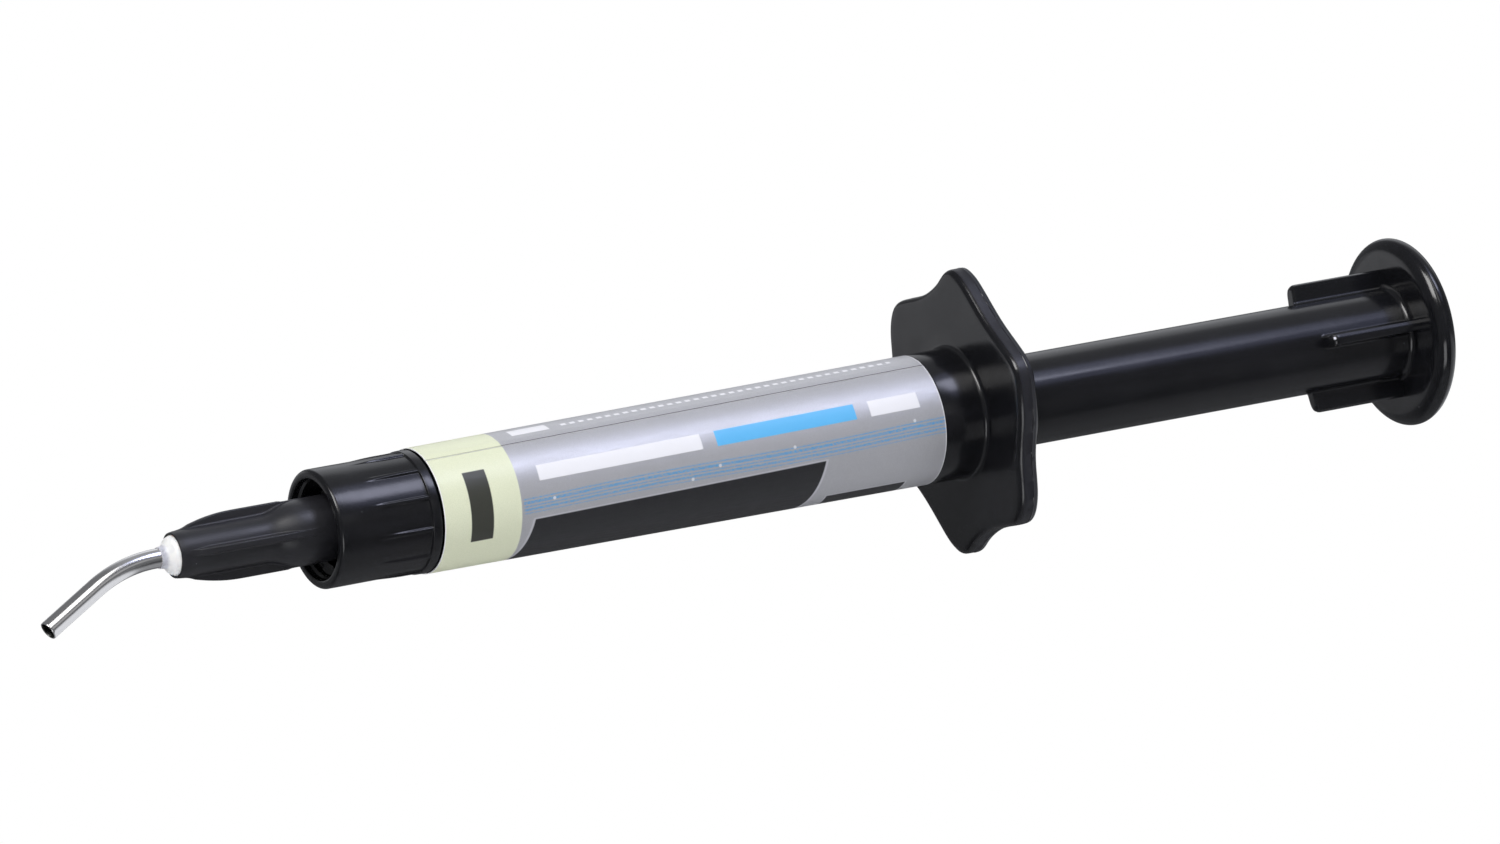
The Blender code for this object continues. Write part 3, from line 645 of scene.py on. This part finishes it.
# -------------------------------------------------------------- lock collar
def build_collar():
    al = []
    first = math.radians(-10.5)
    step = math.radians(30)
    local = np.concatenate([np.linspace(-15, -4.2, 7)[:-1], np.linspace(-4.2, 4.2, 25), np.linspace(4.2, 15, 7)[1:-1]])
    for k in range(12):
        al.extend(first + k * step + np.radians(local))
    al = np.array(al)
    dist = np.abs((al - first + step / 2) % step - step / 2) * 5.1      # mm from the nearest rib's middle
    rib = 1.0 - smooth(0.10, 0.26, dist)
    rings = []

    def outer(x, r, ribs=True):
        rr = np.full(len(al), r)
        if ribs and -105.4 < x < -100.0:
            h = 0.17 * smooth(-105.3, -101.5, x) ** 0.8
            rr = rr + h * rib
        rings.append(polar(x, rr, al))

    ring = soft_profile([(-99.15, 3.40), (-99.15, 5.26, 0.12), (-99.98, 5.235, 0.05), (-100.06, 5.06, 0.03), (-100.4, 5.055)], segs=5)
    for x, r in ring:
        outer(x, r)
    for x in np.linspace(-100.6, -105.6, 34):
        outer(x, 5.055 + 0.004 * math.sin((x + 100.6) / 5 * math.pi))
    mouth = soft_profile([(-106.0, 5.06), (-108.57, 5.06, 0.42), (-108.57, 4.33, 0.12), (-107.95, 4.28, 0.1), (-107.75, 4.12, 0.08), (-107.5, 4.10)], segs=7)
    for x, r in mouth:
        outer(x, r, ribs=False)
    # inner wall with the two-start thread, 5 mm lead, right-handed about +X
    th = np.arctan2(-np.sin(al), -np.cos(al))                            # angle from +Y towards +Z
    per = 5.0 / (2 * math.pi)
    x0 = -103.60 - 1.25 - per * math.pi / 2
    for x in np.linspace(-107.4, -101.2, 63):
        d = np.abs((x - (x0 + per * th) + 1.25) % 2.5 - 1.25)
        h = 0.65 * (1 - smooth(0.20, 0.46, d)) * smooth(-107.3, -106.9, x) * (1 - smooth(-101.9, -101.6, x))
        rings.append(polar(x, 4.10 - h, al))
    back = soft_profile([(-101.1, 4.10), (-100.55, 4.10, 0.15), (-100.55, 3.40, 0.08)], segs=4)
    for x, r in back:
        rings.append(polar(x, r, al))
    v, f = rings_to_mesh(rings, loop=True)
    return make_mesh("lock_collar_moulding", v, f, [M_COLLAR], sharp=40)


# ---------------------------------------------------------------- needle hub
def rib_section(x, core, top, half, count, turn, per_arc, r_corner=0.12, fil=0.22, crown=0.0):
    """One closed ring: a round core with count square ribs of half-thickness half."""
    pts = []
    tops = list(top) if hasattr(top, "__len__") else [top] * count
    halves = list(half) if hasattr(half, "__len__") else [half] * count
    for k in range(count):
        top = max(tops[k], core + 0.004)
        half = halves[k]
        h = top - core
        base_a = math.asin(min(0.95, (half + min(fil, h)) / core))
        after = halves[(k + 1) % count]
        next_a = math.asin(min(0.95, (after + min(fil, max(tops[(k + 1) % count] - core, 0.004))) / core))
        mid = turn + k * 2 * math.pi / count
        ca, sa = math.cos(mid), math.sin(mid)
        loc = []
        c = min(r_corner, h * 0.45)
        g = min(fil, h * 0.45)
        base = math.sqrt(max(core ** 2 - (half + g) ** 2, 0.01))
        foot = math.sqrt(core ** 2 - half ** 2)
        side = []
        for q in range(5):                                   # fillet at the foot
            w = math.pi / 2 * q / 4
            side.append((half + g * (1 - math.sin(w)), base + (foot + g - base) * (1 - math.cos(w))))
        side.append((half, max(top - c, foot + g) if h > 0.3 else side[-1][1] * 0.5 + (top - c) * 0.5))
        for q in range(1, 5):                                # rounded outer corner
            w = math.pi / 2 * q / 4
            side.append((half - c * (1 - math.cos(w)), top - c + c * math.sin(w)))
        for q in (0.75, 0.5, 0.25):                          # crowned top
            side.append(((half - c) * q, top))
        if h >= 0.3:
            side = [(t, r - crown * min(t, half - c) ** 2 if r > top - c else r) for t, r in side]
        if h < 0.3:                                          # a low rib flattens into the core
            u = h / 0.3
            side = [(t, (1 - u) * math.sqrt(max(core ** 2 - t * t, 0)) + u * min(r, top)) for t, r in side]
        loc = [(-t, r) for t, r in side] + [(0.0, top if h >= 0.3 else (1 - h / 0.3) * core + (h / 0.3) * top)] \
            + [(t, r) for t, r in reversed(side)]
        for t, r in loc:                                     # t grows with alpha
            y = -(r * ca - t * sa)
            z = -(r * sa + t * ca)
            pts.append((x, y, z))
        a0, a1 = mid + base_a, mid + 2 * math.pi / count - next_a
        for q in range(1, per_arc):
            a = a0 + (a1 - a0) * q / per_arc
            pts.append((x, -core * math.cos(a), -core * math.sin(a)))
    return np.array(pts)


def build_hub():
    half, turn = 0.29, math.radians(4.0)

    def core(x):
        c = np.interp(x, [-121.7, -121.55, -121.3, -113.2, -112.7, -111.7, -111.0, -110.2, -102.0],
                      [1.88, 1.96, 2.01, 2.06, 2.16, 2.52, 2.72, 2.80, 2.80])
        return float(c)

    def top(x):
        return float(np.interp(x, [-121.7, -121.4, -120.6, -119.6, -118.7, -117.7, -116.9, -116.0, -109.6, -109.2, -108.9],
                               [1.80, 1.92, 2.15, 2.40, 2.61, 2.77, 2.85, 2.88, 2.88, 2.85, 2.74]))

    xs = np.unique(np.round(np.concatenate([np.linspace(-121.7, -121.2, 8), np.linspace(-121.2, -116, 40),
                                            np.linspace(-116, -112.7, 8), np.linspace(-112.7, -110.8, 22),
                                            np.linspace(-110.8, -108.7, 18), np.linspace(-108.7, -102.8, 8)]), 3))
    def sm(fn, x):
        return sum(fn(x + d) * w for d, w in ((-0.5, 0.12), (-0.25, 0.22), (0, 0.32), (0.25, 0.22), (0.5, 0.12)))
    per_arc = 14
    rings = []
    secs = [rib_section(x, min(sm(core, x), 9), sm(top, x), half, 4, turn, per_arc) for x in xs]
    n = len(secs[0])
    # angles of the section points, for the round rings that close the ends
    ang0 = np.arctan2(-secs[0][:, 2], -secs[0][:, 1])

    def circle(x, r):
        return polar(x, r, ang0)

    angr = np.arctan2(-secs[-1][:, 2], -secs[-1][:, 1])
    # front: pocket for the insert, lip, outside, rear end, socket
    rings.append(polar(-120.4, 1.34, ang0))
    rings.append(polar(-120.4, 1.74, ang0))
    rings.append(polar(-121.5, 1.75, ang0))
    for x, r in ((-121.66, 1.755), (-121.72, 1.775), (-121.74, 1.81), (-121.73, 1.85)):
        rings.append(polar(x, r, ang0))
    rings.extend(secs)
    for x, r in ((-102.72, 2.79), (-102.63, 2.74), (-102.60, 2.66), (-102.60, 2.40), (-102.66, 2.33), (-102.8, 2.29)):
        rings.append(polar(x, r, angr))
    for x, r in ((-109.9, 2.07), (-110.0, 1.99), (-110.0, 1.06), (-110.08, 0.98), (-115.5, 0.98), (-115.5, 1.34)):
        rings.append(polar(x, r, angr))
    v, f = rings_to_mesh(rings, loop=True)
    hub = make_mesh("needle_hub_moulding", v, f, [M_HUB], sharp=42)
    # the two lugs that run in the collar's thread
    per = 5.0 / (2 * math.pi)
    for k in range(2):
        mid = math.pi / 2 + k * math.pi
        secs = []
        for q in range(25):
            w = -math.radians(30) + math.radians(60) * q / 24
            t = mid + w
            x = -103.60 + per * w
            ease = 0.18 * (abs(w) / math.radians(30)) ** 6
            ro, ri, ha, hb = 3.85 - ease, 2.55, 0.56, 0.44
            c = 0.12
            loc = [(-ha, ri), (ha, ri), (ha, ro - c - 0.1), (hb + 0.06, ro - c), (hb, ro), (-hb, ro), (-hb - 0.06, ro - c), (-ha, ro - c - 0.1)]
            secs.append(np.array([(x + dx, r * math.cos(t), r * math.sin(t)) for dx, r in loc]))
        lv, lf = rings_to_mesh(secs, cap=True)
        lug = make_mesh("hub_lug_tool", lv, lf, [M_HUB], sharp=30)
        mod = hub.modifiers.new("lug", 'BOOLEAN')
        mod.operation, mod.object, mod.solver = 'UNION', lug, 'EXACT'
        with bpy.context.temp_override(object=hub, active_object=hub):
            bpy.ops.object.modifier_apply(modifier=mod.name)
        bpy.data.objects.remove(lug, do_unlink=True)
    weld(hub)
    hub.data.shade_smooth()
    hub.data.set_sharp_from_angle(angle=math.radians(42))
    return hub


def build_insert():
    prof = soft_profile([(-115.8, 0.86), (-115.8, 1.25, 0.05), (-120.55, 1.25, 0.05), (-120.55, 1.70), (-121.70, 1.70, 0.15),
                         (-122.05, 1.56, 0.40), (-122.42, 1.08, 0.40), (-122.70, 0.94, 0.3), (-123.04, 0.905, 0.02), (-123.05, 0.86)],
                        loop=True, segs=10)
    return lathe("needle_insert_moulding", prof, [M_WHITE], n=120, loop=True, sharp=45, step=1.0)


def build_cannula():
    bend_r, bend, tail, x0 = 12.0, math.radians(29.2), 5.63, -123.24
    path = [(-113.0, 0.0, 0.0), (-115.0, 0, 0), (-117.0, 0, 0), (-119, 0, 0), (-121, 0, 0), (-122.6, 0, 0), (-123.0, 0, 0)]
    for k in range(0, 49):
        a = bend * k / 48
        path.append((x0 - bend_r * math.sin(a), -bend_r * (1 - math.cos(a)), a))
    x, z, a = path[-1]
    for d in (1.0, 2.2, 3.4, 4.6, 5.4):
        path.append((x - d * math.cos(a), z - d * math.sin(a), a))
    end = (x - tail * math.cos(a), z - tail * math.sin(a), a)
    n = 96
    phi = np.arange(n) * 2 * math.pi / n

    def ring(p, r, back=0.0, flat=0.0):
        px, pz, a = p
        px, pz = px + back * math.cos(a), pz + back * math.sin(a)
        up = np.array([-math.sin(a), 0, math.cos(a)])
        side = np.array([0, 1.0, 0])
        return (np.array([px, 0, pz]) + np.outer(r * (1 + flat) * np.cos(phi), side) + np.outer(r * (1 - flat) * np.sin(phi), up))

    rings, mat, u = [], [], []
    run = 0.0
    prev = path[0]
    for p in path:
        run += math.hypot(p[0] - prev[0], p[1] - prev[1])
        prev = p
        f = 0.012 * math.sin(math.pi * min(1, p[2] / bend)) if 0 < p[2] < bend else 0.0
        rings.append(ring(p, 0.825, flat=f))
        u.append(run / 24.0)
    for w in np.linspace(0, math.pi, 9):                     # rounded lip
        rings.append(ring(end, 0.7575 + 0.0675 * math.cos(w), back=0.0675 * (1 - math.sin(w))))
        u.append(run / 24.0 + 0.02)
    for p in reversed(path[1:]):
        rings.append(ring(p, 0.69))
        u.append(0.5)
    rings.append(ring(path[0], 0.69))
    u.append(0.5)
    v, f = rings_to_mesh(rings, loop=True)
    uv = np.concatenate([np.column_stack([np.full(n, uu), np.abs(np.arange(n) / n * 2 - 1)]) for uu in u])
    k_out = (len(path) + 8) * n
    fm = []
    for face in f:
        m = max(face) // n
        fm.append(0 if m <= len(path) + 5 and min(face) // n <= len(path) + 5 else 1)
    return make_mesh("cannula_tube", v, f, [M_STEEL, M_BORE], sharp=50, face_mat=fm, uv=uv)


# ------------------------------------------------------------------- plunger
def build_rod():
    half, turn = 0.50, math.radians(-3.5)
    rod = 3.95

    def top(x, front):
        """Fin height: a nearly square front face whose outer corner is rounded."""
        return float(np.interp(x - front, [-0.04, 0.0, 0.03, 0.07, 0.12, 0.20, 0.30, 0.42, 0.56, 0.75],
                               [3.95, 4.35, 4.80, 5.12, 5.31, 5.48, 5.59, 5.66, 5.695, 5.70]))

    per_arc = 16
    fronts = (-11.32, -11.32, -11.32, -11.32)
    xs = np.concatenate([np.linspace(-50, -13.0, 14), [-12.4, -11.8, -11.5], np.linspace(-11.40, -10.5, 46),
                         np.linspace(-10.3, -1.2, 15)])
    secs = []
    for x in xs:
        h = [half * (1.0 - 0.14 * (1 - smooth(f + 0.02, f + 0.35, x))) for f in fronts]
        secs.append(rib_section(x, rod, [top(x, f) for f in fronts], h, 4, turn, per_arc, r_corner=0.20, fil=0.30, crown=0.95))
    ang = np.arctan2(-secs[0][:, 2], -secs[0][:, 1])
    nose = soft_profile([(-14.0, 2.6), (-61.3, 2.6, 0.1), (-61.3, 3.95, 0.22), (-54.55, 3.95, 0.06), (-54.55, 3.1, 0.1),
                         (-53.45, 3.1, 0.1), (-53.45, 3.95, 0.06), (-51.5, 3.95)], segs=5)
    rings = [np.array([[-14.0, 0, 0]])]
    for x, r in split_long(nose, 4.0):
        rings.append(polar(x, r, ang))
    rings.extend(secs)
    rings.append(np.array([[-1.2, 0, 0]]))
    v, f = rings_to_mesh(rings, cap=False)
    ob = make_mesh("plunger_moulding", v, f, [M_ROD], sharp=40)
    # thumb disc with a full-round rim and a fillet where it meets the rod
    rim, R = 1.09, 8.30
    prof = [(-2.18 - 0.55, 0.0), (-2.18 - 0.55, 3.80), (-2.18 - 0.55, 3.955)]
    for k in range(1, 9):
        w = math.pi / 2 * k / 8
        prof.append((-2.18 - 0.55 * (1 - math.sin(w)), 3.955 + 0.55 * (1 - math.cos(w))))
    prof += [(-2.18, 5.0), (-2.18, 5.8), (-2.18, 6.4)]
    for k in range(0, 37):
        w = math.pi * k / 36
        prof.append((-rim - rim * math.cos(w), R - 1.50 + 1.50 * math.sin(w)))
    prof += [(0.0, 6.0), (0.0, 4.0), (0.0, 2.0), (0.0, 0.0)]
    n = 224
    al = np.arange(n) * 2 * math.pi / n
    rings = [polar(x, r, al) if r > 1e-6 else np.array([[x, 0, 0]]) for x, r in prof]
    dv, df = rings_to_mesh(rings, cap=False)
    disc = make_mesh("disc_tool", dv, df, [M_ROD], sharp=30)
    tools = [disc]
    # small dome on the near fin's front corner, which carries the painted highlight dot
    ca, sa = math.cos(turn), math.sin(turn)

    def on_fin(x, t, rad):
        return np.column_stack([x, -(rad * ca - t * sa), -(rad * sa + t * ca)])

    rings = []
    for r, h in ((0.0, 5.00), (0.24, 5.00), (0.24, 5.41), (0.232, 5.47), (0.208, 5.53), (0.17, 5.58), (0.12, 5.616),
                 (0.06, 5.638), (0.0, 5.645)):
        c = np.arange(28) * 2 * math.pi / 28 if r else np.zeros(1)
        rings.append(on_fin(-11.07 + r * np.cos(c), -0.12 + r * np.sin(c), np.full(len(c), h)))
    pip_v, pip_f = rings_to_mesh(rings, cap=False)
    tools.append(make_mesh("pip_tool", pip_v, pip_f, [M_ROD], sharp=50))
    for tool in tools:
        mod = ob.modifiers.new("join", 'BOOLEAN')
        mod.operation, mod.object, mod.solver = 'UNION', tool, 'EXACT'
        with bpy.context.temp_override(object=ob, active_object=ob):
            bpy.ops.object.modifier_apply(modifier=mod.name)
        bpy.data.objects.remove(tool, do_unlink=True)
    weld(ob)
    ob.data.shade_smooth()
    ob.data.set_sharp_from_angle(angle=math.radians(40))
    return ob


def build_gasket():
    w, v = 4.05, 3.68
    prof = soft_profile([(-67.60, 0), (-67.60, 3.2, 0.5), (-67.10, w, 0.3), (-66.45, w, 0.2), (-66.15, v, 0.15),
                         (-65.45, v, 0.15), (-65.15, w, 0.2), (-64.45, w, 0.2), (-64.15, v, 0.15), (-63.45, v, 0.15),
                         (-63.15, w, 0.2), (-62.30, w, 0.25), (-62.30, 1.75, 0.12), (-63.60, 1.75, 0.12),
                         (-63.60, 2.55, 0.12), (-65.60, 2.55, 0.3), (-66.20, 1.60, 0.3), (-66.20, 0)])
    return lathe("gasket_rubber_stopper", prof, [M_RUBBER], n=128, sharp=40)


def build_carrier():
    prof = soft_profile([(-66.05, 0), (-66.05, 1.45, 0.25), (-65.50, 2.35, 0.25), (-63.72, 2.42, 0.12), (-63.72, 1.62, 0.08),
                         (-62.15, 1.62, 0.08), (-62.15, 3.60, 0.12), (-61.45, 3.60, 0.12), (-61.45, 2.48, 0.05),
                         (-56.4, 2.46, 0.2), (-56.0, 2.2, 0.1), (-56.0, 0)])
    return lathe("gasket_carrier_plug", prof, [M_CARRIER], n=112, sharp=40)


def build_ring():
    prof = [(-54.0 + 0.42 * math.cos(w), 3.58 + 0.42 * math.sin(w)) for w in np.arange(28) * 2 * math.pi / 28]
    return lathe("plunger_drag_ring", prof, [M_RING], n=128, loop=True, sharp=60)


PIECES = [
    (build_barrel(), "barrel", "barrel", "barrel_plastic"),
    (build_label(), "label_wrap", "barrel", "label_film"),
    (build_collar(), "lock_collar", "lock_collar", "collar_plastic"),
    (build_hub(), "needle_hub", "needle_hub", "hub_plastic"),
    (build_insert(), "needle_insert", "needle_tube", "insert_plastic"),
    (build_cannula(), "cannula", "needle_tube", "cannula_steel"),
    (build_gasket(), "gasket", "piston", "gasket_rubber"),
    (build_carrier(), "gasket_carrier", "plunger", "carrier_plastic"),
    (build_rod(), "plunger_rod", "plunger", "rod_plastic"),
    (build_ring(), "plunger_o_ring", "plunger", "ring_rubber"),
]
for piece, node, body, slot in PIECES:
    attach(piece, body)
    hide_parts(node)


# ------------------------------------------------------------ stage and light
ROLL = math.radians(10.26)
CAM_FWD = Vector((0.4709, 0.8822, 0.0)).normalized()
CAM_LEVEL = Vector((0.8822, -0.4709, 0.0)).normalized()
CAM_RIGHT = (CAM_LEVEL * math.cos(ROLL) - Vector((0, 0, 1)) * math.sin(ROLL)).normalized()
CAM_UP = CAM_RIGHT.cross(CAM_FWD).normalized()
CAM_POS = Vector((-0.5002, -0.8129, 0.0023)) + CAM_UP * 0.00006


def build_floor():
    """Pale floor just under the flange, fading into the white surround far from the object."""
    n, rad = 96, [0.0, 0.05, 0.12, 0.25, 0.5, 1.0, 2.0, 4.0, 9.0]
    verts, faces = [(0, 0, 0)], []
    for r in rad[1:]:
        for i in range(n):
            a = 2 * math.pi * i / n
            verts.append((r * math.cos(a), r * math.sin(a), 0))
    for i in range(n):
        j = (i + 1) % n
        faces.append((0, 1 + i, 1 + j))
        for k in range(len(rad) - 2):
            a, b = 1 + k * n, 1 + (k + 1) * n
            faces.append((a + i, b + i, b + j, a + j))
    me = bpy.data.meshes.new("floor")
    me.from_pydata(verts, [], faces)
    ob = bpy.data.objects.new("floor", me)
    scene.collection.objects.link(ob)
    ob.location = (-0.067, 0, -0.0128)
    m = Nodes("mat_floor")
    grain = m.noise(0.8, 3.0, 0.6)
    m.set(Base_Color=m.mix(grain, rgb(0.90, 0.90, 0.90), rgb(0.93, 0.93, 0.93)), Roughness=0.9)
    m.put(m.bsdf.inputs["Specular IOR Level"], 0.1)
    em = m.t.nodes.new("ShaderNodeEmission")
    em.inputs[0].default_value = (1, 1, 1, 1)
    em.inputs[1].default_value = 1.0
    mixs = m.t.nodes.new("ShaderNodeMixShader")
    sep = m.t.nodes.new("ShaderNodeVectorMath")
    sep.operation = 'LENGTH'
    m.link(m.mm, sep.inputs[0])
    far = m.range(sep.outputs["Value"], 90.0, 260.0, 0.0, 1.0)
    geo = m.t.nodes.new("ShaderNodeNewGeometry")
    facing = m.t.nodes.new("ShaderNodeVectorMath")
    facing.operation = 'DOT_PRODUCT'
    m.link(geo.outputs["Incoming"], facing.inputs[0])
    m.link(geo.outputs["Normal"], facing.inputs[1])
    graze = m.range(m.math('ABSOLUTE', facing.outputs["Value"]), 0.03, 0.12, 1.0, 0.0)
    lp = m.t.nodes.new("ShaderNodeLightPath")
    m.link(m.math('ADD', 0.62, m.math('MULTIPLY', lp.outputs["Is Camera Ray"], 0.38)), em.inputs[1])
    far = m.math('MAXIMUM', far, m.math('MULTIPLY', graze, lp.outputs["Is Camera Ray"]))
    m.link(far, mixs.inputs[0])
    m.link(m.bsdf.outputs[0], mixs.inputs[1])
    m.link(em.outputs[0], mixs.inputs[2])
    under = m.t.nodes.new("ShaderNodeMixShader")
    clear = m.t.nodes.new("ShaderNodeBsdfTransparent")
    m.link(geo.outputs["Backfacing"], under.inputs[0])
    m.link(mixs.outputs[0], under.inputs[1])
    m.link(clear.outputs[0], under.inputs[2])
    m.link(under.outputs[0], m.out.inputs[0])
    me.materials.append(m.mat)
    return ob


def build_world():
    """White to the camera; to the object, bright above, behind and below, dark on the camera's side."""
    w = bpy.data.worlds.new("studio")
    scene.world = w
    w.use_nodes = True
    t = w.node_tree
    t.nodes.clear()
    out = t.nodes.new("ShaderNodeOutputWorld")
    mix = t.nodes.new("ShaderNodeMixShader")
    lp = t.nodes.new("ShaderNodeLightPath")
    white = t.nodes.new("ShaderNodeBackground")
    white.inputs[0].default_value = (1, 1, 1, 1)
    white.inputs[1].default_value = 1.0
    env = t.nodes.new("ShaderNodeBackground")
    tc = t.nodes.new("ShaderNodeTexCoord")

    def dot(v):
        n = t.nodes.new("ShaderNodeVectorMath")
        n.operation = 'DOT_PRODUCT'
        t.links.new(tc.outputs["Generated"], n.inputs[0])
        n.inputs[1].default_value = v
        return n.outputs["Value"]

    def rangem(v, a, b, c, d):
        n = t.nodes.new("ShaderNodeMapRange")
        n.interpolation_type = 'SMOOTHSTEP'
        t.links.new(v, n.inputs[0])
        for i, q in enumerate((a, b, c, d)):
            n.inputs[i + 1].default_value = q
        return n.outputs[0]

    def mathm(op, a, b):
        n = t.nodes.new("ShaderNodeMath")
        n.operation = op
        for s, q in zip(n.inputs, (a, b)):
            if hasattr(q, "is_output"):
                t.links.new(q, s)
            else:
                s.default_value = q
        return n.outputs[0]

    up = dot((0.0, 0.0, 1.0))
    away = dot(tuple(CAM_FWD))
    top = rangem(up, 0.50, 0.68, 0.0, 0.36)
    top_back = mathm('MULTIPLY', rangem(up, 0.15, 0.55, 0.0, 0.85), rangem(away, 0.28, 0.62, 0.0, 1.0))
    ax = dot((1.0, 0.0, 0.0))
    top_back = mathm('MULTIPLY', top_back, rangem(ax, 0.05, 0.33, 0.12, 1.0))
    under_tip = mathm('MULTIPLY', rangem(ax, 0.525, 0.62, 0.0, 0.85), rangem(up, -0.08, -0.24, 0.0, 1.0))
    top = mathm('MULTIPLY', top, rangem(ax, -0.15, 0.25, 0.22, 1.0))
    low = rangem(up, -0.60, -0.86, 0.0, 0.30)
    back = mathm('MULTIPLY', rangem(away, 0.25, 0.52, 0.0, 0.18), rangem(away, 0.80, 0.95, 1.0, 0.25))
    s = mathm('MAXIMUM', mathm('MAXIMUM', top, low), mathm('MAXIMUM', back, top_back))
    s = mathm('MAXIMUM', mathm('MAXIMUM', s, under_tip), rangem(up, -0.65, -0.10, 0.07, 0.17))
    t.links.new(s, env.inputs[1])
    env.inputs[0].default_value = (0.93, 0.95, 1.0, 1)
    t.links.new(lp.outputs["Is Camera Ray"], mix.inputs[0])
    t.links.new(env.outputs[0], mix.inputs[1])
    t.links.new(white.outputs[0], mix.inputs[2])
    t.links.new(mix.outputs[0], out.inputs[0])


def area(name, pos, aim, size, power, colour=(1, 1, 1)):
    li = bpy.data.lights.new(name, 'AREA')
    li.shape = 'RECTANGLE'
    li.size, li.size_y = size
    li.energy = power
    li.color = colour
    ob = bpy.data.objects.new(name, li)
    scene.collection.objects.link(ob)
    ob.location = pos
    ob.rotation_mode = 'QUATERNION'
    ob.rotation_quaternion = (Vector(aim) - Vector(pos)).to_track_quat('-Z', 'Y')
    return ob


floor = build_floor()
floor.visible_glossy = False
build_world()
CENTRE = Vector((-0.067, 0, 0))


def direction(axial, elev):
    """Unit direction with a given X part and an elevation turned up from the camera's side."""
    k = math.sqrt(1 - axial ** 2)
    e = math.radians(elev)
    return Vector((axial, -k * math.cos(e), k * math.sin(e)))


# long softbox that draws the bluish highlight band along the cylinders, stronger towards the needle
p = Vector((-0.100, 0, 0)) + direction(0.4709, 50) * 0.70
strip = area("strip_softbox", p, Vector((-0.100, 0, 0)), (0.30, 0.22), 0.085, (0.60, 0.66, 1.0))
p = Vector((-0.143, 0, 0)) + direction(0.4709, 50) * 0.69
near = area("strip_softbox_front", p, Vector((-0.143, 0, 0)), (0.17, 0.22), 0.64, (0.80, 0.82, 1.0))
# wider, weaker softbox that softens both sides of the band
p = Vector((-0.100, 0, 0)) + direction(0.4709, 51) * 0.72
wide = area("strip_softbox_wide", p, Vector((-0.100, 0, 0)), (0.34, 0.50), 0.44, (0.56, 0.62, 1.0))
# two softboxes over the bent tip, which only the bright tube mirrors
tip = area("tip_softbox", Vector((-0.120, -0.44, 0.42)), Vector((-0.130, 0, 0)), (0.17, 0.42), 0.36, (1.0, 0.99, 0.98))
tip_card = area("tip_card", Vector((0.035, -0.440, 0.060)), Vector((-0.131, 0, 0)), (0.10, 0.14), 0.010, (1.0, 0.99, 0.98))
# broad key from the needle side, which the cylinders do not mirror to the camera
key = area("key_softbox", CENTRE + Vector((-0.45, -0.42, 0.56)), CENTRE, (0.42, 0.42), 5.0, (1.0, 0.99, 0.98))
# small card behind the flange's front face
card = area("flange_card", Vector((-0.125, 0.145, 0.036)), Vector((-0.048, 0, 0.006)), (0.09, 0.07), 0.0082, (0.95, 0.96, 1.0))
disc_card = area("disc_card", Vector((-0.031, 0.047, 0.002)), Vector((-0.002, 0, 0)), (0.036, 0.040), 0.0008, (0.95, 0.96, 1.0))
# light from above for the label's upper side; the glossy black parts do not mirror it
top_fill = area("top_fill", CENTRE + Vector((-0.02, 0.10, 0.60)), CENTRE, (0.30, 0.30), 0.55, (1.0, 1.0, 0.99))
top_fill.visible_glossy = False
fill = area("low_fill", CENTRE + Vector((-0.30, -0.45, -0.35)), CENTRE, (0.30, 0.30), 0.8, (0.97, 0.98, 1.0))
for lamp in (strip, near, wide, disc_card, tip, tip_card, key, card, fill):
    lamp.visible_camera = False

cam_data = bpy.data.cameras.new("camera")
cam_data.sensor_fit = 'HORIZONTAL'
cam_data.sensor_width = 36.0
cam_data.lens = 260.2
cam_data.clip_start, cam_data.clip_end = 0.01, 50.0
cam = bpy.data.objects.new("camera", cam_data)
scene.collection.objects.link(cam)
rot = Matrix((CAM_RIGHT, CAM_UP, -CAM_FWD)).transposed()
cam.matrix_world = Matrix.Translation(CAM_POS) @ rot.to_4x4()
scene.camera = cam
scene.view_settings.view_transform = 'Standard'
scene.view_settings.look = 'None'
